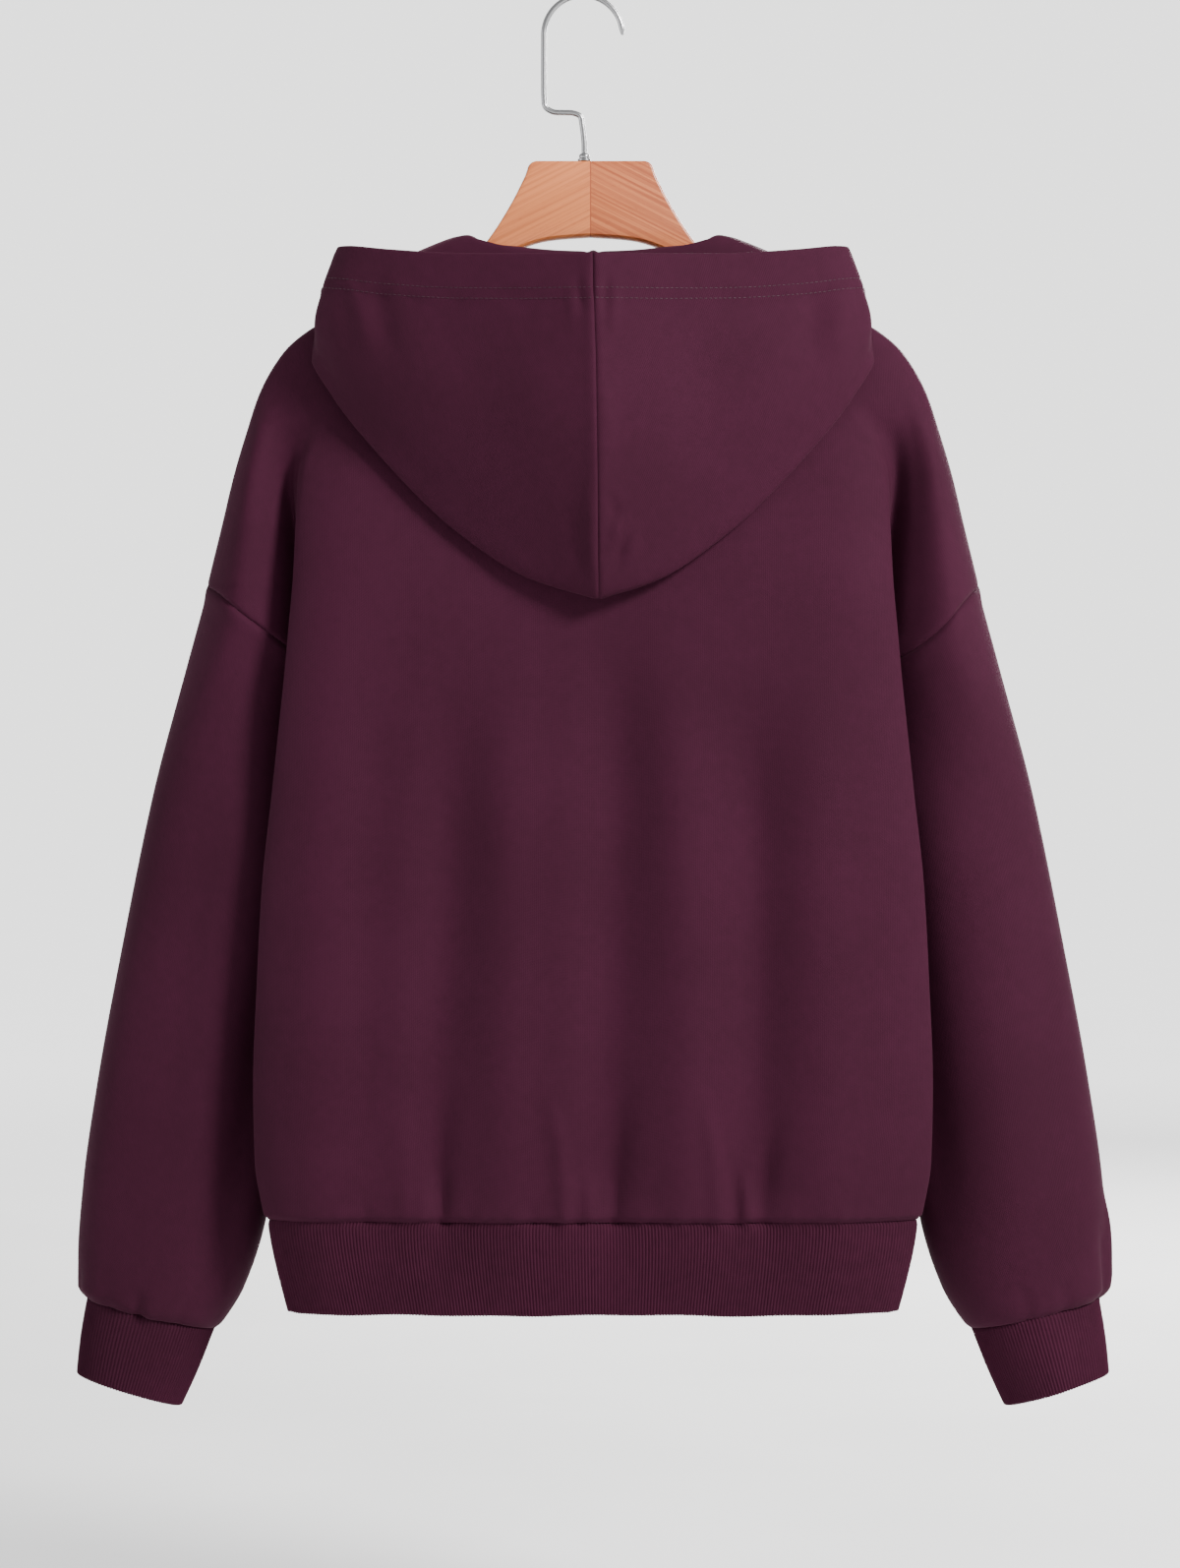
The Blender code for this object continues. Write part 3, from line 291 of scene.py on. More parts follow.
def half_panel(facing, side, creases):
    """The outside of half the back (facing -1) or of a front (facing 1), from the centre outwards."""
    steps = panel_steps()[:, None]
    reach = column(PANEL_ROWS, "reach", steps)
    inner = np.linspace(0, SIDE_FOLD, BODY_COLUMNS, endpoint=False)
    outer = np.linspace(0, 1, SIDE_COLUMNS + 1)
    parameter = np.concatenate(
        [np.repeat(inner[None], len(steps), axis=0), SIDE_FOLD + (reach - SIDE_FOLD) * outer], axis=1
    )
    comes, goes = eased((steps - SHOULDER) / DROP_ROWS[0]), eased((UNDERARM - steps) / DROP_ROWS[1])
    edge_z = column(PANEL_ROWS, "side", steps) - SEAM_DROP[side] * comes * goes
    centre_z = column(PANEL_ROWS, "back" if facing < 0 else "front", steps)
    round_neck = column(PANEL_ROWS, "neckline", steps)
    share = np.clip(parameter / reach, 0.0, 1.0)
    z = edge_z + (centre_z - edge_z) * (1 - share**2) ** round_neck
    width = column(BODY_LEVELS, "outer", edge_z)
    plain_x = width * np.interp(parameter, range(len(LENS_SHARES)), LENS_SHARES)
    depth = column(BODY_LEVELS, "back" if facing < 0 else "front", z)
    lens = np.minimum(plain_x / column(BODY_LEVELS, "outer", z), 1.0)
    plain_y = facing * depth * np.sqrt(1 - lens**LENS_POWER)
    folded = folded_section(np.minimum(z, BODY_LEVELS[0].z), parameter, facing)
    opened = column(BODY_LEVELS, "valley", edge_z)
    x = side * ((1 - opened) * plain_x + opened * folded[..., 0])
    y = (1 - opened) * plain_y + opened * folded[..., 1]
    over_shoulder = eased((z - PANEL_ROWS[SHOULDER].side) / 60)
    flat = eased((SIDE_SEAM + 3 * over_shoulder - parameter) / 2.0)
    relief = creased(x, z, creases) * flat
    return np.stack([x, y + facing * relief, z], axis=-1)


def unit(vectors):
    return vectors / np.maximum(np.linalg.norm(vectors, axis=-1, keepdims=True), 1e-9)


def grid_normals(points, wrap=False):
    if wrap:
        across = np.roll(points, -1, axis=1) - np.roll(points, 1, axis=1)
    else:
        across = np.gradient(points, axis=1)
    return unit(np.cross(across, np.gradient(points, axis=0)))


def outward(points, outside, wrap=False):
    """The normals of a grid, on the side that a rough outward direction names."""
    normals = grid_normals(points, wrap)
    return normals if (normals * outside).sum() > 0 else -normals


def cloth_lengths(points):
    """Distance along the cloth across and down to each point of a grid, in metres."""
    across = np.linalg.norm(np.diff(points, axis=1), axis=-1)
    down = np.linalg.norm(np.diff(points, axis=0), axis=-1)
    across = np.concatenate([np.zeros((len(points), 1)), np.cumsum(across, axis=1)], axis=1)
    down = np.concatenate([np.zeros((1, points.shape[1])), np.cumsum(down, axis=0)], axis=0)
    across -= across[:, across.shape[1] // 2][:, None]
    return np.stack([across, down], axis=-1) * MM


def face_outwards(mesh):
    """Turns a closed mesh's faces outwards and shades it smooth."""
    shell = bmesh.new()
    shell.from_mesh(mesh)
    bmesh.ops.recalc_face_normals(shell, faces=shell.faces)
    shell.to_mesh(mesh)
    shell.free()
    mesh.shade_smooth()


def added(name, data):
    """A new object of the scene."""
    item = bpy.data.objects.new(name, data)
    bpy.context.scene.collection.objects.link(item)
    return item


def cloth_piece(name, outer, inner, wrap=False):
    """A thin wall between two grids of the garment, with its lengths along the cloth as a UV map."""
    rows, columns = outer.shape[:2]
    shift = np.array((GARMENT_X, 0.0, 0.0))
    vertices = (np.concatenate([outer.reshape(-1, 3), inner.reshape(-1, 3)]) + shift) * MM
    grid = np.arange(rows * columns).reshape(rows, columns)
    ends = np.concatenate([grid, grid[:, :1]], axis=1) if wrap else grid
    a, b, c, d = ends[:-1, :-1], ends[:-1, 1:], ends[1:, 1:], ends[1:, :-1]
    outside = np.stack([a, b, c, d], axis=-1).reshape(-1, 4)
    rims = [ends[0], ends[-1, ::-1]] if wrap else [ends[0], ends[:, -1], ends[-1, ::-1], ends[::-1, 0]]
    far = rows * columns
    faces = [outside, outside[:, ::-1] + far]
    for rim in rims:
        faces.append(np.stack([rim[1:], rim[:-1], rim[:-1] + far, rim[1:] + far], axis=-1))
    faces = np.concatenate(faces)
    mesh = bpy.data.meshes.new(name)
    mesh.from_pydata(vertices.tolist(), [], faces.tolist())
    flat = np.concatenate([cloth_lengths(outer).reshape(-1, 2)] * 2)
    corners = np.empty(len(mesh.loops), np.int32)
    mesh.loops.foreach_get("vertex_index", corners)
    layer = mesh.uv_layers.new(name="cloth")
    layer.data.foreach_set("uv", flat[corners].astype(np.float32).ravel())
    face_outwards(mesh)
    return added(name, mesh)


class Value:
    """A value in a material's or a geometry's node tree. Arithmetic on it adds nodes."""

    def __init__(self, tree, socket=None):
        self.tree, self.socket = tree, socket

    def node(self, kind, settings=(), sockets=(), output=0):
        """Any node, from its type, its settings and what goes into its sockets."""
        made = self.tree.nodes.new(kind)
        for key, value in dict(settings).items():
            setattr(made, key, value)
        for key, value in dict(sockets).items():
            if isinstance(value, Value):
                self.tree.links.new(value.socket, made.inputs[key])
            else:
                made.inputs[key].default_value = value
        return Value(self.tree, made.outputs[output])

    def maths(self, operation, *others):
        sockets = dict(enumerate((self, *others)))
        return self.node("ShaderNodeMath", {"operation": operation}, sockets)

    def __add__(self, other):
        return self.maths("ADD", other)

    def __sub__(self, other):
        return self.maths("SUBTRACT", other)

    def __rsub__(self, other):
        return (self * -1.0) + other

    def __mul__(self, other):
        return self.maths("MULTIPLY", other)

    def place(self):
        """A place on the piece, in its own coordinates."""
        return self.node("ShaderNodeTexCoord", output=3)

    def parts(self):
        """The X, Y and Z of a vector."""
        return [self.node("ShaderNodeSeparateXYZ", (), {0: self}, k) for k in range(3)]

    def vector(self, x, y, z):
        return self.node("ShaderNodeCombineXYZ", (), {0: x, 1: y, 2: z})

    def noise(self, scale, detail=2.0):
        sockets = {"Vector": self, "Scale": scale, "Detail": detail}
        return self.node("ShaderNodeTexNoise", (), sockets)

    def ramp(self, low, high):
        """0 at low and 1 at high, with a soft start and end."""
        sockets = {"Value": self, "From Min": low, "From Max": high}
        return self.node("ShaderNodeMapRange", {"interpolation_type": "SMOOTHSTEP"}, sockets)

    def between(self, first, second):
        """A colour from the first to the second as this goes from 0 to 1."""
        settings = {"data_type": "RGBA"}
        sockets = {0: self, 6: (*first, 1.0), 7: (*second, 1.0)}
        return self.node("ShaderNodeMix", settings, sockets, 2)

    def bump(self, strength, distance=0.001):
        sockets = {"Height": self, "Strength": strength, "Distance": distance}
        return self.node("ShaderNodeBump", (), sockets)


def new_material(name):
    """A material, its shader node and an empty value of its tree."""
    material = bpy.data.materials.new(name)
    material.use_nodes = True
    return material, material.node_tree.nodes["Principled BSDF"], Value(material.node_tree)


def join(value, shader, socket):
    value.tree.links.new(value.socket, shader.inputs[socket])


def all_over(shader, values):
    """Plain values for some sockets of a node, the same all over the surface."""
    for socket, value in values.items():
        shader.inputs[socket].default_value = value


def cloth_material(name, dark, light, wale, course, depth, sheen):
    """Knit: fine columns and rows of loops along the cloth's own lengths, and a faint mottle."""
    material, shader, start = new_material(name)
    along = start.node("ShaderNodeUVMap", {"uv_map": "cloth"})
    across, down, _ = along.parts()
    place = start.place()
    loops = (across * (2 * math.pi / wale)).maths("SINE")
    slant = (down * (2 * math.pi / course) + loops.maths("ABSOLUTE") * 1.6).maths("SINE")
    fibres = along.noise(2600.0, 3.0)
    height = loops * 0.45 + slant * 0.3 + fibres * 1.1
    mottle = place.noise(9.0, 3.0) * 0.55 + place.noise(160.0, 2.0) * 0.25 + fibres * 0.2
    join(mottle.ramp(0.36, 0.64).between(dark, light), shader, "Base Color")
    join(height.bump(depth, 0.0006), shader, "Normal")
    join(fibres * 0.16 + 0.74, shader, "Roughness")
    all_over(shader, {"Sheen Weight": sheen, "Sheen Roughness": 0.45, "Sheen Tint": (0.80, 0.30, 0.46, 1.0)})
    all_over(shader, {"Specular IOR Level": 0.08})
    return material


FLEECE_DARK = (0.0240, 0.0032, 0.0110)
FLEECE_LIGHT = (0.0290, 0.0041, 0.0137)
fleece = cloth_material("burgundy_sweatshirt_knit", FLEECE_DARK, FLEECE_LIGHT, 0.0011, 0.0009, 0.16, 0.04)


def seam_tuck(points, steps):
    """How far the cloth turns in towards the seams at a panel's outer edge and its lower edge."""
    from_side = np.linalg.norm(points - points[:, -1:], axis=-1)
    from_hem = np.abs(points[..., 2] - PANEL_ROWS[-1].side)
    side_tuck = EDGE_TUCK * eased((steps - SHOULDER + 1.5) / 1.5)[:, None]
    side_tuck = side_tuck * np.exp(-((from_side / TUCK_WIDTH) ** 2))
    return side_tuck + HEM_TUCK * np.exp(-((from_hem / TUCK_WIDTH) ** 2))


def panel_surface(facing, side, creases):
    """The outside of half a panel, with its edges turned in at the seams."""
    points = half_panel(facing, side, creases)
    tuck = seam_tuck(points, panel_steps())[..., None]
    return points - tuck * outward(points, np.array((0.0, facing, 0.0)))


panels = {(-1, side): panel_surface(-1, side, BACK_CREASES) for side in (-1, 1)}
back = np.concatenate([panels[-1, -1][:, :0:-1], panels[-1, 1]], axis=1)
back_normals = outward(back, np.array((0.0, -1.0, 0.0)))
back_piece = cloth_piece("hoodie_back", back, back - FLEECE * back_normals)
back_piece.data.materials.append(fleece)
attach(back_piece, "garment")
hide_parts("back")

# The fronts are cut like the back, one to each side of the zip, with a lower neckline. Their centre
# edges are turned in and topstitched beside the zip.

FRONT_CREASES = rows_of(
    Crease,
    (-128, -340, -138, -760, 4, 24, 3.0, 0.30, 0.02),
    (-84, -380, -92, -745, -5, 18, -3.8, 0.30, 0.10),
    (-46, -380, -52, -760, 3, 18, 3.0, 0.30, 0.02),
    (42, -360, 40, -760, 4, 18, 2.5, 0.30, 0.02),
    (80, -380, 88, -745, 5, 18, -3.8, 0.30, 0.10),
    (124, -340, 134, -760, -3, 24, 3.0, 0.30, 0.02),
    (-132, -690, -136, -741, 1, 4, 1.6),
    (-112, -672, -116, -741, 3, 4, 2.2),
    (-96, -700, -97, -741, 0, 3, -1.6),
    (-74, -680, -70, -741, -3, 4, -2.8),
    (-56, -704, -56, -741, 0, 4, 1.4),
    (-28, -690, -34, -741, 2, 4, 1.8),
    (30, -680, 26, -741, -3, 4, -2.4),
    (46, -706, 45, -741, 0, 4, 1.3),
    (62, -670, 68, -741, 4, 4, 2.6),
    (84, -702, 85, -741, 0, 3, -1.5),
    (104, -684, 110, -741, 3, 4, -2.8),
    (136, -704, 134, -741, 0, 4, 1.4),
)
ZIP_OPENING = 5.5
EDGE_EASE = 0.02


def rounded_end(outer, inner, turns=5):
    """Two grids with more rows after the last, which turn the wall's edge round in a half circle."""
    middle, half = (outer[-1] + inner[-1]) / 2, (outer[-1] - inner[-1]) / 2
    ahead = unit(outer[-1] - outer[-2]) * np.linalg.norm(half, axis=-1, keepdims=True)
    angles = [math.pi / 2 * k / turns for k in range(1, turns)]
    outside = [middle + half * math.cos(a) + ahead * math.sin(a) for a in angles]
    inside = [middle - half * math.cos(a) + ahead * math.sin(a) for a in angles]
    return np.concatenate([outer, outside]), np.concatenate([inner, inside])


def turned(grid):
    return grid.transpose(1, 0, 2)


SIDES = ((-1, "left"), (1, "right"))
front_normals = {}
for side, name in SIDES:
    outer = panels[1, side] = panel_surface(1, side, FRONT_CREASES)
    normals = front_normals[side] = outward(outer, np.array((0.0, 1.0, 0.0)))
    from_zip = np.abs(outer[..., 0])
    outer[..., 0] = side * np.maximum(from_zip, ZIP_OPENING + EDGE_EASE * from_zip)
    inner = outer - FLEECE * normals
    inner[:, 0, 0] = outer[:, 0, 0]
    edge_out, edge_in = rounded_end(turned(outer[:, ::-1]), turned(inner[:, ::-1]))
    front = cloth_piece(f"hoodie_front_{name}", turned(edge_out), turned(edge_in))
    front.data.materials.append(fleece)
    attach(front, "garment")
    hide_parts(f"front_{name}")

# Each sleeve is one tapering cut, sewn round the armhole and gathered into the cuff. It hangs nearly
# straight beside the body and bulges a little over the cuff's seam.

SleeveLevel = namedtuple("SleeveLevel", "share outer_z outer_x inner_z inner_x depth middle")
SLEEVE_LEVELS = rows_of(
    SleeveLevel,
    (0.00, -353, 234, -430, 152, 36, 10),
    (0.12, -404, 248, -472, 160, 37, 13),
    (0.30, -482, 268, -540, 170, 37, 14),
    (0.50, -570, 286, -615, 182, 36, 14),
    (0.70, -657, 302, -690, 191, 35, 14),
    (0.84, -718, 310.5, -744, 200, 34, 13),
    (0.94, -762, 313.5, -782, 212.5, 31, 12),
    (0.985, -780, 313.5, -801, 224, 28, 11),
    (1.00, -788, 309, -807, 229, 25, 11),
)

# The share of the length over which the armhole's shape fades out; how boxy the outer half of a ring is
# and how far it leans back; and the rows down to where the gathers over the cuff start, and from there.
ARMHOLE_BLEND = 0.30
FLATNESS = 2.7
LEAN_BACK = 0.07
SLEEVE_COLUMNS = 144
GATHERS_START = 0.9
SLEEVE_ROWS = 92
GATHER_ROWS = 42

# The seams' relief: a tuck at the cuff, and a roll a little below the armhole's seam.
CUFF_TUCK = 0.8
ARMHOLE_ROLL = 0.9
ROLL_MIDDLE = 5
ROLL_WIDTH = 4

# Creases of a sleeve. Angles are in degrees from the outer edge round over the back; top and bottom
# are shares of the sleeve's length.
SleeveCrease = namedtuple("SleeveCrease", "angle_top top angle_bottom bottom width height")
SLEEVE_CREASES = {
    -1: rows_of(
        SleeveCrease,
        (70, 0.10, 84, 0.85, 14, -1.3),
        (98, 0.15, 108, 0.92, 15, 1.6),
        (136, 0.30, 128, 1.04, 13, -3.4),
        (40, 0.35, 48, 1.00, 14, 1.0),
        (82, 0.955, 85, 1.04, 4, -1.7),
        (93, 0.94, 94, 1.03, 6, 1.0),
        (60, 0.94, 58, 1.03, 6, -0.8),
        (118, 0.94, 117, 1.03, 6, -0.8),
        (28, 0.94, 26, 1.03, 6, -0.8),
        (232, 0.20, 244, 0.90, 14, -3.2),
        (276, 0.30, 268, 0.95, 14, 2.4),
        (305, 0.40, 312, 1.02, 13, -2.6),
        (252, 0.93, 250, 1.03, 6, -1.2),
        (290, 0.93, 288, 1.03, 6, -1.2),
    ),
    1: rows_of(
        SleeveCrease,
        (132, -0.2, 142, 1.03, 24, -6.0),
        (76, 0.10, 92, 0.98, 20, 1.8),
        (44, 0.20, 58, 0.90, 16, -1.4),
        (18, 0.84, 13, 1.02, 6, 2.6),
        (33, 0.88, 28, 1.02, 6, -2.0),
        (98, 0.94, 100, 1.03, 6, -0.8),
        (70, 0.94, 68, 1.03, 6, -0.8),
        (236, 0.15, 240, 0.92, 14, -3.2),
        (270, 0.30, 274, 0.95, 14, 2.4),
        (310, 0.30, 304, 1.02, 13, -2.4),
        (262, 0.93, 260, 1.03, 6, -1.2),
        (296, 0.93, 299, 1.03, 6, -1.0),
    ),
}


def oval(outer, inner, depth, angle):
    """Flattened rings from their outer edges (angle 0) over the back to their inner edges and the front."""
    middle, arm = (outer + inner) / 2, (outer - inner) / 2
    across, over = np.cos(angle), np.sin(angle)
    power = np.where(across > 0, FLATNESS, 2.0)
    reach = (np.abs(across) ** power + np.abs(over) ** power) ** (-1 / power)
    bulge = depth * reach * (LEAN_BACK * np.maximum(across, 0.0) - over)
    return middle + (across * reach)[..., None] * arm + np.stack([0 * bulge, bulge, 0 * bulge], axis=-1)


def armhole(side, angle):
    """The body's edge at each angle round the sleeve, which is shared by both panels and the sleeve."""
    rows = SHOULDER + (UNDERARM - SHOULDER) * (1 - np.abs(1 - angle / math.pi))
    edges = []
    for facing in (-1, 1):
        last = panels[facing, side][:, -1]
        edges.append(np.stack([np.interp(rows, panel_steps(), last[:, k]) for k in range(3)], axis=-1))
    return np.where((angle <= math.pi)[:, None], edges[0], edges[1])


def sleeve_relief(side, share, angle):
    """Height of a sleeve's creases over a place on it."""
    total = 0 * share * angle
    for crease in SLEEVE_CREASES[side]:
        along = (share - crease.top) / (crease.bottom - crease.top)
        middle = crease.angle_top + (crease.angle_bottom - crease.angle_top) * np.clip(along, 0, 1)
        off = (np.degrees(angle) - middle + 180) % 360 - 180
        fade = eased(along / 0.35) * eased((1 - along) / 0.3)
        total = total + crease.height * fade * np.exp(-((off / crease.width) ** 2))
    return total


def sleeve_surface(side):
    plain = np.linspace(0, GATHERS_START, SLEEVE_ROWS, endpoint=False)
    share = np.concatenate([plain, np.linspace(GATHERS_START, 1, GATHER_ROWS)])[:, None]
    angle = np.linspace(0, 2 * math.pi, SLEEVE_COLUMNS, endpoint=False)
    level = {name: column(SLEEVE_LEVELS, name, share) for name in SleeveLevel._fields[1:]}
    edges = [
        np.stack([side * level[f"{edge}_x"], level["middle"], level[f"{edge}_z"]], axis=-1)
        for edge in ("outer", "inner")
    ]
    rings = oval(*edges, level["depth"], angle[None])
    left = (1 - eased(share / ARMHOLE_BLEND))[..., None]
    rings = rings + left * (armhole(side, angle) - rings[0])
    normals = outward(rings, rings - rings.mean(axis=1, keepdims=True), wrap=True)
    from_top = np.linalg.norm(rings - rings[:1], axis=-1)
    from_cuff = np.linalg.norm(rings - rings[-1:], axis=-1)
    seams = -CUFF_TUCK * np.exp(-((from_cuff / TUCK_WIDTH) ** 2))
    seams = seams + ARMHOLE_ROLL * np.exp(-(((from_top - ROLL_MIDDLE) / ROLL_WIDTH) ** 2))
    return rings + (sleeve_relief(side, share, angle) + seams)[..., None] * normals


sleeves = {}
for side, name in SIDES:
    outer = sleeves[side] = sleeve_surface(side)
    normals = outward(outer, outer - outer.mean(axis=1, keepdims=True), wrap=True)
    sleeve = cloth_piece(f"hoodie_sleeve_{name}", outer, outer - FLEECE * normals, wrap=True)
    sleeve.data.materials.append(fleece)
    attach(sleeve, "garment")
    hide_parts(f"sleeve_{name}")

# The hood is two halves, joined by a seam over the crown and sewn round the neck. It hangs down the
# back as a pouch, and its face edge is turned in as a casing with two rows of stitches.

HoodSection = namedtuple(
    "HoodSection",
    "around roll_x roll_y roll_z inner_x inner_y inner_z fold_x fold_y fold_z"
    " outer_x outer_y outer_z face_x face_y face_z",
)
HOOD_SECTIONS = rows_of(
    HoodSection,
    (0.00, 0, -18, -163, 0, -36, -270, 0, -54, -363, 0, -90, -272, 0, -89, -169),
    (0.10, 20, -18, -162, 27, -35, -262, 37, -49, -351, 40, -78, -264, 40, -79, -168),
    (0.20, 40, -17, -159, 60, -32, -240, 80, -43, -322, 84, -65, -246, 82, -67, -166),
    (0.30, 58, -15, -154, 94, -26, -212, 123, -35, -279, 128, -52, -222, 120, -55, -162),
    (0.40, 74, -11, -149, 124, -19, -188, 153, -26, -242, 157, -40, -200, 145, -43, -158),
    (0.47, 82, -6, -147, 138, -12, -176, 168, -17, -215, 166, -28, -192, 153, -31, -157),
    (0.52, 88, 1, -148, 138, 1, -172, 165, 0, -201, 165, -10, -187, 155, -17, -161),
    (0.60, 86, 17, -156, 117, 20, -175, 143, 19, -188, 147, 12, -180, 143, 5, -164),
    (0.72, 70, 26, -190, 85, 28, -191, 100, 28, -195, 107, 25, -190, 106, 19, -183),
    (0.86, 38, 27, -220, 48, 30, -216, 57, 31, -212, 61, 30, -208, 61, 26, -204),
    (1.00, 6, 26, -234, 6, 28, -230, 7, 30, -226, 7, 30, -222, 7, 28, -218),
)
HOOD_ROWS = 98

# The path of each section passes the neck, the roll, the inner layer, the fold, a point low on the
# outer layer, the outer layer and the face edge. HOOD_SHARES are the shares of the rows at those
# places, and LOW_POINT the weights of the fold and the outer layer in the low point.
HOOD_SHARES = (0.0, 0.08, 0.28, 0.52, 0.60, 0.80, 1.0)
LOW_POINT = ((0.6, 0.55, 0.8), (0.4, 0.45, 0.2))
OUTER_ROWS = slice(int(0.62 * HOOD_ROWS), int(0.85 * HOOD_ROWS))

# The crown seam: its depth on each side, its width, and the low ridge beside it. It wanders to one
# side down the pouch: heights and how far.
CROWN_DEPTH = {-1: 0.7, 1: 0.9}
CROWN_WIDTH = 1.1
RIDGE_HEIGHT, RIDGE_AWAY, RIDGE_WIDTH = 0.25, 3.5, 2.4
CROWN_LEAN = ((-363, -320, -230, -185), (3.0, 2.8, 1.5, 0.0))
LEAN_WIDTH = 45

# The casing: its rows of stitches from the face edge, how deep they pull in, how much the doubled cloth
# stands up, and how much thicker it is.
CASING_LINES = (19.0, 25.0)
STITCH_PULL = 0.55
CASING_RISE = 0.9
CASING_FILL = 1.2
HOOD_CREASES = rows_of(
    Crease,
    (-6, -290, -4, -354, 1, 4, 1.4, 0.50, 0.15),
    (-16, -310, -9, -352, -2, 4, -0.9, 0.50, 0.30),
    (7, -235, 6, -300, 0, 4, 0.9, 0.50, 0.50),
    (6, -306, 8, -326, 3, 3, -1.2, 0.40, 0.40),
    (11, -318, 6, -340, 2, 3, 1.3, 0.40, 0.30),
    (15, -332, 7, -350, 2, 3, -1.2, 0.40, 0.30),
    (24, -322, 14, -350, 2, 4, 1.1, 0.40, 0.30),
    (-9, -180, -6, -204, 0, 2.4, -1.3, 0.40, 0.50),
    (-14, -186, -12, -210, 0, 2.6, 0.9, 0.40, 0.50),
    (9, -180, 5, -206, 0, 2.4, -1.2, 0.40, 0.50),
    (14, -184, 9, -218, 0, 3, 1.0, 0.40, 0.50),
    (-74, -210, -60, -300, 6, 20, -0.9, 0.40, 0.40),
    (-38, -205, -30, -330, 4, 16, 0.7, 0.40, 0.40),
    (-112, -190, -92, -262, 4, 16, 1.1, 0.40, 0.40),
    (40, -195, 30, -330, 6, 18, 0.7, 0.40, 0.30),
    (70, -200, 56, -300, 4, 18, -0.7, 0.40, 0.30),
    (104, -190, 88, -280, 4, 16, 0.9, 0.40, 0.40),
    (-146, -172, -134, -226, 3, 7, 1.8, 0.40, 0.40),
    (-132, -172, -120, -232, 3, 7, -1.4, 0.40, 0.40),
    (148, -172, 138, -232, 3, 7, 1.8, 0.40, 0.40),
    (132, -176, 122, -228, 3, 7, -1.5, 0.40, 0.40),
)


def distances(points):
    """Distance along a line to each of its points."""
    steps = np.linalg.norm(np.diff(points, axis=0), axis=1)
    return np.concatenate([[0], np.cumsum(steps)])


def neck_edge(side):
    """The neck seam from the centre back to the zip, and how far round the hood each point is."""
    back_neck = panels[-1, side][0]
    front_neck = panels[1, side][0][::-1][1:]
    seam = np.concatenate([back_neck, front_neck])
    lengths = distances(seam)
    split = lengths[len(back_neck) - 1]
    return seam, np.interp(lengths, [0, split, lengths[-1]], [0, 0.5, 1])


def rearward(points):
    """A rough outward direction for a half of the hood, named where its outer layer faces back."""
    outside = np.zeros_like(points)
    outside[OUTER_ROWS, : points.shape[1] // 2, 1] = -1.0
    return outside


def hood_surface(side):
    """The outside of half the hood from the neck to the face edge, and each point's way to that edge."""
    seam, around = neck_edge(side)
    level = {name: column(HOOD_SECTIONS, name, around) for name in HoodSection._fields[1:]}
    path = [seam]
    for place in ("roll", "inner", "fold", "outer", "face"):
        x, y, z = (level[f"{place}_{axis}"] for axis in "xyz")
        path.append(np.stack([side * x, y, z], axis=-1))
    path.insert(4, np.array(LOW_POINT[0]) * path[3] + np.array(LOW_POINT[1]) * path[4])
    path = [2 * path[0] - path[1], *path, 2 * path[-1] - path[-2]]
    path = np.stack(path, axis=1)
    share = np.linspace(0, 1, HOOD_ROWS)
    parameter = np.interp(share, HOOD_SHARES, range(len(HOOD_SHARES)))
    every = np.broadcast_to(path, (HOOD_ROWS, *path.shape))
    points = spline(every, np.broadcast_to(parameter[:, None], every.shape[:2]))
    points[:, 0, 0] = 0.0
    normals = outward(points, rearward(points))
    steps = np.linalg.norm(np.diff(points, axis=0), axis=2)
    from_face = np.concatenate([np.cumsum(steps[::-1], axis=0)[::-1], np.zeros((1, len(seam)))])
    from_crown = np.abs(points[..., 0])
    x, z = points[..., 0], points[..., 2]
    fold, low = HOOD_SHARES[3:5]
    on_show = eased((share - fold) / (low - fold))[:, None] * eased((from_face - 2) / 20)
    relief = on_show * creased(x, z, HOOD_CREASES)
    crown = CROWN_DEPTH[side] * np.exp(-((from_crown / CROWN_WIDTH) ** 2))
    crown -= RIDGE_HEIGHT * np.exp(-(((from_crown - RIDGE_AWAY) / RIDGE_WIDTH) ** 2))
    relief -= crown * eased((from_face - 1) / 6)
    relief += CASING_RISE * eased((CASING_LINES[1] + 1.5 - from_face) / 3)
    for line in CASING_LINES:
        relief -= STITCH_PULL * np.exp(-(((from_face - line) / 1.1) ** 2))
    points = points + relief[..., None] * normals
    lean = np.interp(z, *CROWN_LEAN) * eased((share - 0.3) / 0.2)[:, None]
    points[..., 0] += lean * np.exp(-((from_crown / LEAN_WIDTH) ** 2))
    return points, from_face


hood_outsides = {}
for side, name in SIDES:
    outer, from_face = hood_surface(side)
    normals = outward(outer, rearward(outer))
    thickness = FLEECE + CASING_FILL * eased((CASING_LINES[1] - from_face) / 3)
    hood_outsides[side] = outer, normals, from_face
    inner = outer - thickness[..., None] * normals
    inner[:, 0, 0] = outer[:, 0, 0]
    hood = cloth_piece(f"hoodie_hood_{name}", *rounded_end(outer, inner))
    hood.data.materials.append(fleece)
    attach(hood, "garment")
    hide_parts(f"hood_{name}")

# Cuffs and hem band are fine 1x1 rib, doubled along the lower edge and gathered on at the seam. The
# ribs are real ridges, one to each column of stitches.

RIB_PITCH = 1.8
RIB_HEIGHT = 0.42
RIB_SAMPLES = 4
RIB_WALL = 2.4
RIB_ROWS = 17
CUFF_RIBS = 116

# How soon the gathers of the seam fade down the rib, and over how many rib samples they are smoothed.
GATHER_FADE = 0.05
CUFF_SMOOTHING = (60, 22)
HEM_SMOOTHING = (90, 14)

